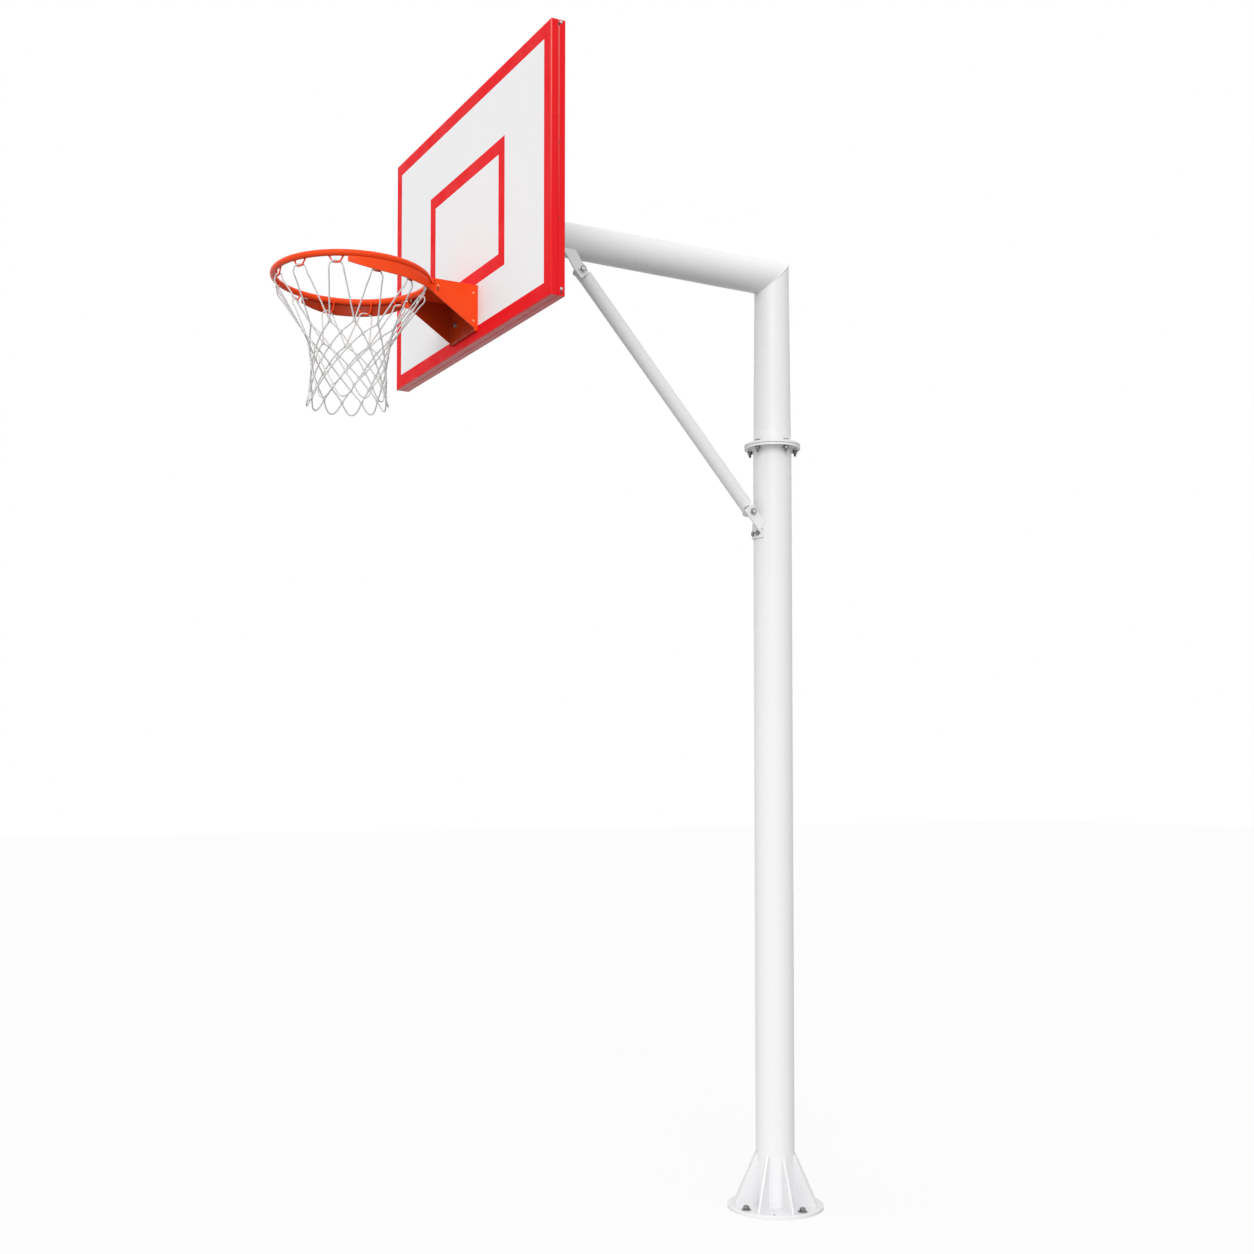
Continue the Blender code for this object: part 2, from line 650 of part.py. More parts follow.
def build_board_frame(materials):
    loops = [
        rectangle(
            BOARD_WIDTH / 2 - inset,
            BOARD_FOOT_HEIGHT + inset,
            BOARD_FOOT_HEIGHT + BOARD_HEIGHT - inset,
            y,
        )
        for inset, y in frame_section()
    ]
    frame = place("board_frame", loft(loops, ring=True), materials["board_red"])
    front = BOARD_FRONT + TRAY_SKIN + SEAT + STILE_PROUD
    inset = TRAY_SKIN + 3 * FRAME_WALL
    low, high = BOARD_FOOT_HEIGHT + inset, BOARD_FOOT_HEIGHT + BOARD_HEIGHT - inset
    for side in (-1, 1):
        middle = side * STILE_SPACING / 2
        loops = []
        for shrink in (0, FRAME_WALL):
            half = STILE_WIDTH / 2 - shrink
            loops.append([(middle - half, front + shrink), (middle + half, front + shrink),
                          (middle + half, STILE_BACK - shrink), (middle - half, STILE_BACK - shrink)])
        outer, inner = loops
        stile = loft(
            [[(x, y, z) for x, y in outline] for outline, z in ((outer, low), (outer, high), (inner, high), (inner, low))],
            ring=True,
        )
        combine(frame, stile, "UNION")
    drill = BOARD_BOLT_DIAMETER + 2 * HOLE_SLACK
    rear = drilled_along_y(end_bolt_places(), drill, STILE_BACK - drill, STILE_BACK + drill)
    combine(frame, rear, "DIFFERENCE")
    drill = RIM_BOLT_DIAMETER + 2 * HOLE_SLACK
    face = drilled_along_y(rim_bolt_places(), drill, BOARD_FRONT, front + drill)
    combine(frame, face, "DIFFERENCE")


def hook_path(angle):
    """A hook's route: a shallow trough that hangs from the rim's bar, with soft corners."""
    half, foot_half = HOOK_WIDTH / 2, HOOK_FOOT_WIDTH / 2
    top = RIM_CENTRE.z - RIM_BAR_DIAMETER / 8
    foot = HOOK_FOOT_HEIGHT
    rise = HOOK_DROP / 6
    right = [(0.5 * foot_half, foot), (foot_half, foot + 0.4 * rise), (foot_half + 0.7 * rise, foot + 1.3 * rise)]
    right += [(half - rise / 3, foot + 3.4 * rise), (half, top)]
    flat = [(-across, height) for across, height in reversed(right)] + right
    centre = Vector((0, RIM_CENTRE.y, 0))
    points = []
    for across, height in flat:
        turn = angle + across / HOOK_RADIUS
        points.append(centre + polar(turn, HOOK_RADIUS, height))
    return points


def cord_mesh(paths, diameter):
    """Square-sided tubes along point lists, as one bmesh."""
    curve = bpy.data.curves.new("cords", "CURVE")
    curve.dimensions = "3D"
    curve.bevel_depth = diameter / 2
    curve.bevel_resolution = 0
    curve.use_fill_caps = True
    for points in paths:
        spline = curve.splines.new("POLY")
        spline.points.add(len(points) - 1)
        for target, point in zip(spline.points, points):
            target.co = (*point, 1.0)
    carrier = bpy.data.objects.new("cords", curve)
    mesh = bpy.data.meshes.new_from_object(carrier)
    shape = bmesh.new()
    shape.from_mesh(mesh)
    bmesh.ops.remove_doubles(shape, verts=shape.verts, dist=1e-6)
    bpy.data.objects.remove(carrier)
    bpy.data.curves.remove(curve)
    bpy.data.meshes.remove(mesh)
    return shape


def hook_angles():
    return [2 * math.pi * i / HOOK_COUNT for i in range(HOOK_COUNT)]


def build_rim(materials):
    section = [
        (RIM_RADIUS + RIM_BAR_DIAMETER / 2 * math.cos(turn), RIM_BAR_DIAMETER / 2 * math.sin(turn))
        for turn in (2 * math.pi * i / RIM_SIDES for i in range(RIM_SIDES))
    ]
    loops = [circle(radius, height, RIM_SEGMENTS) for radius, height in section]
    rim = place("rim_ring", loft(loops, ring=True), materials["rim_orange"], Matrix.Translation(RIM_CENTRE))
    hooks = cord_mesh([hook_path(angle) for angle in hook_angles()], HOOK_BAR_DIAMETER)
    combine(rim, hooks, "UNION")


def bracket_stations():
    """The +X side plate's middle line in plan, from the board to the wing's tip."""
    straight = BRACKET_WIDTH / 2 - BRACKET_SHEET / 2
    wing = RIM_RADIUS + WING_SET_OUT
    bend = BRACKET_BEND_RADIUS
    across = straight + bend
    along = math.sqrt((wing + bend) ** 2 - across**2)
    meet = math.atan2(across, along)
    centre = Vector((across, RIM_CENTRE.y + along))
    start = BACK_PLATE_FRONT - SEAT
    stations = [(Vector((straight, start)), Vector((1, 0)))]
    steps = 8
    for i in range(steps + 1):
        turn = (math.pi / 2 - meet) * i / steps
        normal = Vector((math.cos(turn), math.sin(turn)))
        stations.append((centre - bend * normal, normal))
    steps = 20
    for i in range(1, steps + 1):
        turn = (math.pi - meet) + (WING_TIP_ANGLE - math.pi + meet) * i / steps
        normal = Vector((math.sin(turn), -math.cos(turn)))
        stations.append((Vector((0, RIM_CENTRE.y)) + wing * normal, normal))
    return stations


def bracket_heights(point):
    """The lower and upper edge of the side plate at a station."""
    from_rim = Vector((point.x, point.y - RIM_CENTRE.y))
    clear_of_bar = from_rim.length > RIM_RADIUS + RIM_BAR_DIAMETER / 2 + 2.6 * BRACKET_SHEET
    upper = RIM_HEIGHT if clear_of_bar else RIM_CENTRE.z - RIM_BAR_DIAMETER / 2 - SEAT
    angle = math.atan2(point.x, -(point.y - RIM_CENTRE.y))
    start, end = WING_CREST_ANGLES
    crest = min(1.0, max(0.0, (angle - start) / (end - start)))
    rise = BRACKET_SLOPE * (BOARD_FRONT - point.y)
    lower = min(BRACKET_FOOT_HEIGHT + rise, WING_FOOT_HEIGHT + WING_CREST_RISE * crest**2)
    if angle < WING_TAPER_ANGLE:
        share = (WING_TAPER_ANGLE - angle) / (WING_TAPER_ANGLE - WING_TIP_ANGLE)
        lower += WING_TIP_HEIGHT * share**2
    return lower, upper


def bracket_side_shape(side):
    """A side plate of the bracket, running on as the wing under the rim; side is 1 at +X and -1 at -X."""
    loops = []
    for point, normal in bracket_stations():
        lower, upper = bracket_heights(point)
        inner = point - normal * BRACKET_SHEET / 2
        outer = point + normal * BRACKET_SHEET / 2
        loops.append(
            [
                (side * inner.x, inner.y, lower),
                (side * outer.x, outer.y, lower),
                (side * outer.x, outer.y, upper),
                (side * inner.x, inner.y, upper),
            ]
        )
    return loft(loops)


def build_bracket(materials):
    orange = materials["rim_orange"]
    place("bracket_right_side", bracket_side_shape(1), orange)
    place("bracket_left_side", bracket_side_shape(-1), orange)
    half = BRACKET_WIDTH / 2
    low = (-half, BACK_PLATE_FRONT, BRACKET_FOOT_HEIGHT)
    back_plate = place("bracket_back_plate", box(low, (half, BOARD_FRONT - SEAT, RIM_HEIGHT)), orange)
    inner = half - BRACKET_SHEET - SEAT
    reach = RIM_RADIUS + RIM_BAR_DIAMETER / 2 + SEAT
    spread = math.asin(inner / reach)
    front = arc((0, RIM_CENTRE.y), reach, math.pi / 2 + spread, math.pi / 2 - spread, 12)
    outline = [(inner, BACK_PLATE_FRONT + SEAT), (-inner, BACK_PLATE_FRONT + SEAT)] + front
    top = plate(outline, TOP_PLATE_THICKNESS)
    level = RIM_HEIGHT - TOP_PLATE_THICKNESS - SEAT
    combine(back_plate, top, "UNION", Matrix.Translation((0, 0, level)))
    drill = RIM_BOLT_DIAMETER + 2 * HOLE_SLACK
    holes = drilled_along_y(rim_bolt_places(), drill, BACK_PLATE_FRONT - drill, BOARD_FRONT + drill)
    combine(back_plate, holes, "DIFFERENCE")
    forward = Matrix.Rotation(math.pi / 2, 4, "X")
    for i, (x, z) in enumerate(rim_bolt_places()):
        seat = Matrix.Translation((x, BACK_PLATE_FRONT - SEAT, z)) @ forward
        place(f"rim_bolt_{i + 1}", hex_bolt(RIM_BOLT_DIAMETER, RIM_BOLT_LENGTH), materials["zinc"], seat)


def stay_point(end, along, upward=0.0):
    """A point in the stay's plane, from one end's bolt: along the stay away from its tube, and upward across it."""
    outward = STAY_DIRECTION if end is STAY_TOP else -STAY_DIRECTION
    return Vector((0, *end)) + along * outward + upward * STAY_UPWARD


def stay_frame(end, origin):
    """Local +Z points along the stay away from its tube, and +Y upward across it."""
    outward = STAY_DIRECTION if end is STAY_TOP else -STAY_DIRECTION
    return frame_at(origin, STAY_UPWARD.cross(outward), STAY_UPWARD, outward)


def build_stay(materials):
    white = materials["pole_white"]
    foot = stay_point(STAY_FOOT, -STAY_END_GAP, STAY_RISE)
    head = stay_point(STAY_TOP, -STAY_END_GAP, STAY_RISE)
    shape = tube(STAY_DIAMETER / 2, STAY_WALL, 0, (head - foot).length, 32)
    place("stay_tube", shape, white, stay_frame(STAY_TOP, foot))
    build_eye("stay_upper_eye", STAY_TOP, white)
    build_eye("stay_lower_eye", STAY_FOOT, white)
    build_stay_bolt("stay_upper", STAY_TOP, materials["zinc"])
    build_stay_bolt("stay_lower", STAY_FOOT, materials["zinc"])


def build_eye(name, end, material):
    """The plug in the tube's end, with the tongue and bush that take the bolt."""
    plug_radius = STAY_DIAMETER / 2 - STAY_WALL - SEAT
    mouth = stay_point(end, -STAY_END_GAP, STAY_RISE)
    plug = loft([circle(plug_radius, -EYE_PLUG_LENGTH, 24), circle(plug_radius, STAY_WALL, 24)])
    eye = place(name, plug, material, stay_frame(end, mouth))
    bolt_at = (-STAY_RISE, STAY_END_GAP)
    radius = EYE_TONGUE_RADIUS
    outline = [(bolt_at[0] - radius, 2 * SEAT), (bolt_at[0] + radius, 2 * SEAT)]
    outline += arc(bolt_at, radius, 0, math.pi, 8)
    tongue = plate(outline, EYE_TONGUE_THICKNESS)
    on_side = frame_at((-EYE_TONGUE_THICKNESS / 2, 0, 0), (0, 1, 0), (0, 0, 1), (1, 0, 0))
    combine(eye, moved(tongue, on_side), "UNION", eye.matrix_world)
    across = Matrix.Translation((0, *bolt_at)) @ Matrix.Rotation(math.pi / 2, 4, "Y")
    ends = [SEAT - STAY_NUT_FACE, LUG_INNER_FACE - SEAT]
    if end is STAY_FOOT:
        ends = [-ends[1], -ends[0]]
    length = ends[1] - ends[0]
    bush = moved(rod(EYE_BUSH_DIAMETER, length, 24), across @ Matrix.Translation((0, 0, ends[0])))
    combine(eye, bush, "UNION", eye.matrix_world)
    drill = STAY_BOLT_DIAMETER + 2 * HOLE_SLACK
    hole = moved(rod(drill, 4 * length), across @ Matrix.Translation((0, 0, -2 * length)))
    combine(eye, hole, "DIFFERENCE", eye.matrix_world)


def build_stay_bolt(name, end, material):
    """The bolt from the lug's outer face through the eye, and its nut on the far side."""
    outward = Matrix.Rotation(math.pi / 2, 4, "Y")
    head_seat = Matrix.Translation(Vector((LUG_OUTER_FACE + SEAT, *end))) @ outward
    washer_thickness = WASHER_THICKNESS * STAY_BOLT_DIAMETER
    nut_height = washer_thickness + HEX_NUT_HEIGHT * STAY_BOLT_DIAMETER
    grip = LUG_OUTER_FACE + STAY_NUT_FACE + SEAT
    shank = grip + nut_height + STAY_BOLT_DIAMETER / 3
    place(f"{name}_bolt", hex_bolt(STAY_BOLT_DIAMETER, shank), material, head_seat)
    nut_seat = Matrix.Translation(Vector((-STAY_NUT_FACE, *end))) @ Matrix.Rotation(-math.pi / 2, 4, "Y")
    nut = hex_nut(STAY_BOLT_DIAMETER, WASHER_DIAMETER * STAY_BOLT_DIAMETER, washer_thickness)
    place(f"{name}_nut", nut, material, nut_seat)


def joggled(shape, along, sideways):
    """Steps the upper lug's far part sideways, as the lug bends out between the bolt and the arm."""
    start, end = LUG_JOGGLE_SPAN
    for level in (start, end):
        normal = Vector((0, 0, 0))
        normal[along] = 1
        everything = shape.verts[:] + shape.edges[:] + shape.faces[:]
        bmesh.ops.bisect_plane(shape, geom=everything, plane_co=level * normal, plane_no=normal)
    for vert in shape.verts:
        share = (vert.co[along] - start) / (end - start)
        vert.co[sideways] += LUG_JOGGLE * min(1.0, max(0.0, share))


def lug_shape(end, length):
    """The lug's flat plate, as an outline in the stay's plane: square towards the pole, rounded past the bolt."""
    low = -LUG_WIDTH / 2 - LUG_SET_DOWN
    high = LUG_WIDTH / 2 - LUG_SET_DOWN
    tip, corner = -LUG_END_DISTANCE, LUG_CORNER_RADIUS
    outline = [(low, length), (low, tip)]
    outline += arc((high - corner, tip + corner), corner, -math.pi / 2, 0, 4)
    outline.append((high, length))
    shape = plate(outline, LUG_THICKNESS)
    if end is STAY_TOP:
        joggled(shape, 1, 2)
    to_side = frame_at((0, 0, 0), (0, 1, 0), (0, 0, 1), (1, 0, 0))
    side_x = LUG_INNER_FACE
    placed = stay_frame(end, Vector((0, *end)))
    if end is STAY_FOOT:
        side_x = -LUG_OUTER_FACE
    return moved(shape, placed @ Matrix.Translation((side_x, 0, 0)) @ to_side)


def lug_web(end, length):
    """The lug's inner web, on its upper edge between the eye and the pole."""
    high = LUG_WIDTH / 2 - LUG_SET_DOWN - SEAT
    spans = sorted((LUG_WEB_INNER_EDGE, LUG_INNER_FACE + SEAT))
    if end is STAY_FOOT:
        spans = [-value for value in reversed(spans)]
    shape = box((spans[0], high - LUG_THICKNESS, LUG_WEB_START), (spans[1], high, length))
    if end is STAY_TOP:
        joggled(shape, 2, 0)
    return moved(shape, stay_frame(end, Vector((0, *end))))


def bored_for_stay(lug, end):
    outward = Matrix.Rotation(math.pi / 2, 4, "Y")
    drill = STAY_BOLT_DIAMETER + 2 * HOLE_SLACK
    hole = moved(rod(drill, 2 * LUG_THICKNESS), Matrix.Translation(Vector((LUG_INNER_FACE - LUG_THICKNESS / 2, *end))) @ outward)
    combine(lug, hole, "DIFFERENCE")


def build_lugs(materials):
    white = materials["pole_white"]
    upper = place("upper_stay_lug", lug_shape(STAY_TOP, UPPER_LUG_LENGTH), white)
    combine(upper, lug_web(STAY_TOP, UPPER_LUG_LENGTH), "UNION")
    cone = loft(
        [
            circle(ARM_END_DIAMETER / 2 + SEAT, 0),
            circle(arm_radius_at(0.5 * ARM_END) + SEAT, -0.5 * ARM_END),
        ]
    )
    combine(upper, cone, "DIFFERENCE", arm_frame(ARM_END))
    bored_for_stay(upper, STAY_TOP)

    lower = place("lower_stay_lug", lug_shape(STAY_FOOT, LOWER_LUG_LENGTH), white)
    combine(lower, lug_web(STAY_FOOT, LOWER_LUG_LENGTH), "UNION")
    pad_top = STAY_FOOT[1] - LUG_PAD_DROP
    combine(lower, lug_pad(pad_top), "UNION")
    core = loft([circle(POST_RADIUS + SEAT, -LUG_WIDTH), circle(POST_RADIUS + SEAT, 4 * LUG_WIDTH)])
    combine(lower, core, "DIFFERENCE", Matrix.Translation((0, 0, pad_top - 3 * LUG_WIDTH)))
    bored_for_stay(lower, STAY_FOOT)
    bolt_level = pad_top - LUG_PAD_HEIGHT + LUG_BOLT_RISE
    drill = LUG_BOLT_DIAMETER + 2 * HOLE_SLACK
    post = bpy.data.objects["lower_post"]
    for i, angle in enumerate((-LUG_BOLT_HALF_ANGLE, LUG_BOLT_HALF_ANGLE)):
        outward = Matrix.Rotation(math.pi / 2, 4, "Y")
        inside = standing_at(angle, POST_RADIUS - 3 * LUG_PAD_THICKNESS, bolt_level) @ outward
        combine(lower, moved(rod(drill, 6 * LUG_PAD_THICKNESS), inside), "DIFFERENCE")
        combine(post, moved(rod(drill, 6 * LUG_PAD_THICKNESS), inside), "DIFFERENCE")
        seat = standing_at(angle, POST_RADIUS + LUG_PAD_THICKNESS + 2 * SEAT, bolt_level) @ outward
        bolt = hex_bolt(LUG_BOLT_DIAMETER, LUG_BOLT_LENGTH, washer=False)
        place(f"lug_bolt_{i + 1}", bolt, materials["zinc"], seat)


def lug_pad(top):
    """The curved foot of the lower lug, lying on the post."""
    inner, outer = POST_RADIUS + SEAT / 2, POST_RADIUS + SEAT + LUG_PAD_THICKNESS
    start, end = -math.pi / 2 - LUG_PAD_HALF_ANGLE, -math.pi / 2 + LUG_PAD_HALF_ANGLE
    outline = arc((0, 0), outer, start, end, 12) + arc((0, 0), inner, end, start, 12)
    return moved(plate(outline, LUG_PAD_HEIGHT), Matrix.Translation((0, 0, top - LUG_PAD_HEIGHT)))


def net_radius(drop):
    """The net's radius at this drop below the hooks."""
    return NET_NECK_RADIUS + NET_FLARE * math.exp((NET_LOOP_LENGTH - drop) / NET_FLARE_FALL)


def net_rows():
    """(radius, height) of each row of knots, spaced so that every side of a diamond has the cord's length."""
    rows = []
    drop = NET_LOOP_LENGTH
    half_angle = math.pi / HOOK_COUNT
    for _ in range(NET_KNOT_ROWS):
        radius = net_radius(drop)
        rows.append((radius, HOOK_FOOT_HEIGHT - drop))
        step = NET_MESH_SIDE / 2
        for _ in range(12):
            below = net_radius(drop + step)
            across = (radius + below) * half_angle / 2
            inward = radius - below
            step = math.sqrt(NET_MESH_SIDE**2 - across**2 - inward**2)
        drop += step
    return rows


def net_point(row, column, rows, set_out=0.0):
    """The knot at a row and a half-column; the net twists a little as it hangs."""
    radius, height = rows[row]
    radius += set_out
    share = min(1.0, (row + 1) / (NET_KNOT_ROWS - 2))
    angle = column * math.pi / HOOK_COUNT + NET_TWIST * share
    return Vector((0, RIM_CENTRE.y, 0)) + polar(angle, radius, height)


def hook_loop(index, rows):
    """The cord from one knot up over a hook's foot and down to the next knot."""
    middle = 2 * math.pi * index / HOOK_COUNT
    lift = (HOOK_BAR_DIAMETER + CORD_DIAMETER) / 2 + 2 * SEAT
    centre = Vector((0, RIM_CENTRE.y, 0))
    half_turn = 3
    over = []
    for i in range(-half_turn, half_turn + 1):
        lean = math.radians(100) * i / half_turn
        across = NET_CREST_WIDTH / 2 * i / half_turn
        radius = HOOK_RADIUS - lift * math.sin(lean)
        height = HOOK_FOOT_HEIGHT + lift * math.cos(lean)
        over.append(centre + polar(middle + across / HOOK_RADIUS, radius, height))
    legs = []
    for side in (-1, 1):
        knot = net_point(0, 2 * index + side, rows)
        shoulder = centre + polar(
            middle + side * NET_SHOULDER_WIDTH / 2 / HOOK_RADIUS,
            HOOK_RADIUS - side * lift,
            HOOK_FOOT_HEIGHT - NET_SHOULDER_DROP,
        )
        legs.append([knot, shoulder])
    return legs[0] + over + legs[1][::-1]


def foot_loop(index, rows):
    """The round loop that hangs between two knots of the last row."""
    last = NET_KNOT_ROWS - 1
    column = 2 * index + (last + 1) % 2
    left, right = net_point(last, column, rows), net_point(last, column + 2, rows)
    radius, height = rows[last]
    angle = (column + 1) * math.pi / HOOK_COUNT + NET_TWIST
    half_angle = math.pi / HOOK_COUNT
    steps = 6
    points = [left]
    for i in range(1, steps):
        turn = math.pi * i / steps
        swing = angle - half_angle * math.cos(turn)
        drop = NET_FOOT_LOOP * math.sin(turn) ** 0.8
        points.append(Vector((0, RIM_CENTRE.y, 0)) + polar(swing, radius, height - drop))
    return points + [right]


def build_net(materials):
    rows = net_rows()
    paths = [hook_loop(i, rows) for i in range(HOOK_COUNT)]
    for i in range(HOOK_COUNT):
        for direction in (-1, 1):
            set_out = direction * NET_CROSSING / 2
            paths.append(
                [net_point(row, 2 * i + 1 + direction * row, rows, set_out) for row in range(NET_KNOT_ROWS)]
            )
    paths += [foot_loop(i, rows) for i in range(HOOK_COUNT)]
    net = place("net", cord_mesh(paths, CORD_DIAMETER), materials["cord"])
    knots = bmesh.new()
    for row in (0, NET_KNOT_ROWS - 1):
        for i in range(HOOK_COUNT):
            at = Matrix.Translation(net_point(row, 2 * i + 1 + row, rows))
            bmesh.ops.create_uvsphere(knots, u_segments=4, v_segments=2, radius=NET_KNOT_DIAMETER / 2, matrix=at)
    combine(net, knots, "UNION")
    net.modifiers[0].use_self = True


def main():
    clear_scene()
    materials = make_materials()
    build_base(materials)
    build_anchors(materials)
    build_post(materials)
    build_flange(materials)
    build_neck(materials)
    build_end_plate(materials)
    build_board_panel(materials)
    build_board_frame(materials)
    build_rim(materials)
    build_bracket(materials)
    build_stay(materials)
    build_lugs(materials)
    build_net(materials)


main()
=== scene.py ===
"""Dresses an in-ground basketball goal: paint and zinc, weld beads, threaded bolts and a knotted net.

Metres, +Z up. The goal faces -Y. Angles round the pole and the rim are measured from -Y towards +X.
"""

import json
import math

import bmesh
import bpy
from bpy.props import FloatProperty, FloatVectorProperty, PointerProperty
from bpy.types import Operator, Panel, PropertyGroup
from mathutils import Matrix, Vector


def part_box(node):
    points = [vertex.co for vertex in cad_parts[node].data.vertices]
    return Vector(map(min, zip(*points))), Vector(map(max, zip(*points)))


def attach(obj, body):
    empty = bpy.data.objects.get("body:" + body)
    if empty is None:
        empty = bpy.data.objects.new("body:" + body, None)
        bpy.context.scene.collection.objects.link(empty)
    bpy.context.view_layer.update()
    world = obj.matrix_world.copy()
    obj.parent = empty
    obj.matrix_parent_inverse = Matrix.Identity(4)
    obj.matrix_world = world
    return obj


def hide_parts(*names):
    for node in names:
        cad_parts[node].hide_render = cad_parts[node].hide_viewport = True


bl_info = {
    "name": "Basketball Goal Dressing",
    "version": (1, 0, 0),
    "blender": (4, 5, 0),
    "location": "View3D > Sidebar > Goal",
    "description": "Paints and details an in-ground basketball goal round its packed steel frame",
    "category": "Object",
}

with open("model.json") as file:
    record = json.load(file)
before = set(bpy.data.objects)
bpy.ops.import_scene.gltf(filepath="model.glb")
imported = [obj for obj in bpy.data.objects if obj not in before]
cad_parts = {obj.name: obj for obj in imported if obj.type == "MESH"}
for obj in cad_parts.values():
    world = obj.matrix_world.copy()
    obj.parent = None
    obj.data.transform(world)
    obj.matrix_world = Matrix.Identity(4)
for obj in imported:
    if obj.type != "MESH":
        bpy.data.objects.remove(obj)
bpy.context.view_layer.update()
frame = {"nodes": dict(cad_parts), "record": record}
NODES = frame["nodes"]
BODY = "root"

# Pole, base and flange.
BASE_THICKNESS = 0.012
POST_RADIUS = 0.136 / 2
GUSSET_COUNT = 8
GUSSET_TURN = math.radians(33.75)
GUSSET_THICKNESS = 0.008
GUSSET_HEIGHT = 0.176
GUSSET_REACH = 0.152
VENT_TURN = math.radians(54.0)
VENT_RADIUS_OUT = 0.147
VENT_FOOT_RADIUS = 0.0042
VENT_TOP_RADIUS = 0.0036
VENT_HEIGHT = 0.0008
FLANGE_JOINT_HEIGHT = 2.6765
FLANGE_THICKNESS = 0.0085
FLANGE_RADIUS = 0.099
SEAM_RADIUS = FLANGE_RADIUS + 0.0004
SEAM_DEPTH = 0.004
SEAM_HALF_HEIGHT = 0.0015
NECK_FOOT_RADIUS = 0.1335 / 2
NECK_ELBOW_RADIUS = 0.123 / 2
ELBOW_TAPER = 0.010
ARM_END_RADIUS = 0.112 / 2
ARM_HEIGHT = 3.286
END_PLATE_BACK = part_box("arm_end_plate")[1].y

# Weld beads: their ripples and the pole's finer beads, as shares of the radius, and the steps round a tube.
BEAD_VALLEY = 0.88
BEAD_RIPPLE = 0.16
ELBOW_BEAD = 0.62
GUSSET_BEAD = 0.72
RING_STEPS = 48

# Anchors and bolts. A bolt's run is how much longer its thread is than its nut and washer.
ANCHOR_COUNT = 4
ANCHOR_TURN = math.radians(8.5)
ANCHOR_CIRCLE_RADIUS = 0.1365
ANCHOR_DIAMETER = 0.012
ANCHOR_THREAD_DIAMETER = ANCHOR_DIAMETER - 0.0002
ANCHOR_PITCH = 0.002
ANCHOR_FOOT = 0.0005
ANCHOR_STAND_OUT = 0.0155
ANCHOR_WASHER_RADIUS = 0.033 / 2
ANCHOR_WASHER_HEIGHT = 0.003
FLANGE_BOLT_COUNT = 5
FLANGE_BOLT_TURN = math.radians(18.0)
FLANGE_BOLT_CIRCLE_RADIUS = 0.0845
FLANGE_BOLT_DIAMETER = 0.010
FLANGE_BOLT_STAND_OUT = 0.010
FLANGE_BOLT_RUN = 0.012
STAY_BOLT_DIAMETER = 0.012
LUG_BOLT_TURN = math.radians(11.0)
LUG_BOLT_DIAMETER = 0.010
LUG_BOLT_LENGTH = 0.022
LUG_BOLT_THREAD = 0.008
LUG_PAD_FACE = POST_RADIUS + 0.0056
BOARD_BOLT_LENGTH = 0.030
BOARD_BOLT_THREAD = 0.010
# The nodes' first word, the diameter, the side along Y that the head faces, and whether it has a washer.
BOARD_BOLTS = (("board", 0.012, 1, True), ("rim", 0.010, -1, False))

# Fasteners, in bolt diameters; the thread's sharp depth is in pitches, and its cut is a share of that.
HEX_FLATS = 1.58
HEAD_HEIGHT = 0.62
NUT_HEIGHT = 0.85
WASHER_RADIUS = 1.05
WASHER_HEIGHT = 0.17
SHANK_RADIUS = 0.47
THREAD_PITCH = 0.14
THREAD_DEPTH = 0.54
THREAD_CUT = 0.9
CUT_STEPS = (0.0, 0.02, 0.045, 0.075, 0.11)
# The cone that cuts the hexagon's corners, in flats, and a washer's cut edge, in its thicknesses.
CONE_RADIUS = 0.475
WASHER_EDGE = 0.25
# The shallow dish in a head's top: depths in metres, radii in flats.
HEAD_DISH = ((0.0003, 0.34), (0.0002, 0.30))
# Clearance under a washer, in metres.
SEAT = 0.0003

# Board.
BOARD_FRONT = -1.187
BOARD_DEPTH = 0.046
BOARD_WIDTH = 1.235
BOARD_FOOT = 2.875
BOARD_HEIGHT = 0.805
BOARD_LINE = 0.045
TARGET_WIDTH = 0.600
TARGET_HEIGHT = 0.400
TARGET_FOOT = 0.180
# Folded edges: the bend's radius, and the edges' distances behind the face.
FOLDS = {"board_panel": (0.0028, (0.0,)), "board_frame": (0.0016, (0.024, BOARD_DEPTH))}
# On each side edge: rivets by their Y and Z, and their dome; cuts and drain holes, also with half sizes.
RIVETS = ((-1.1545, 3.6735), (-1.1525, 2.8955))
RIVET_DOME = ((0, 0.0046), (0.0006, 0.0046), (0.0014, 0.0036), (0.0019, 0.0018))
EDGE_CUTS = (
    (-1.1605, 3.6665, 0.0026, 0.0050),
    (-1.1530, 2.8850, 0.0030, 0.0042),
    (-1.1590, 3.3210, 0.0018, 0.0022),
    (-1.1590, 3.1000, 0.0018, 0.0022),
)
CUT_INSET = 0.0006
# Heights over which the painted highlight on the side folds grows to full strength.
HIGHLIGHT_FOOT = 3.10
HIGHLIGHT_TOP = 3.62
STILE_EDGES = (0.030, 0.090)
STILE_WELD_FEET = (BOARD_FOOT + 0.0045, BOARD_FOOT + BOARD_HEIGHT - 0.0415)
STILE_WELD_LENGTH = 0.037
STILE_WELD_BACK = BOARD_FRONT + BOARD_DEPTH + 0.0012
STILE_BEAD = 0.0018

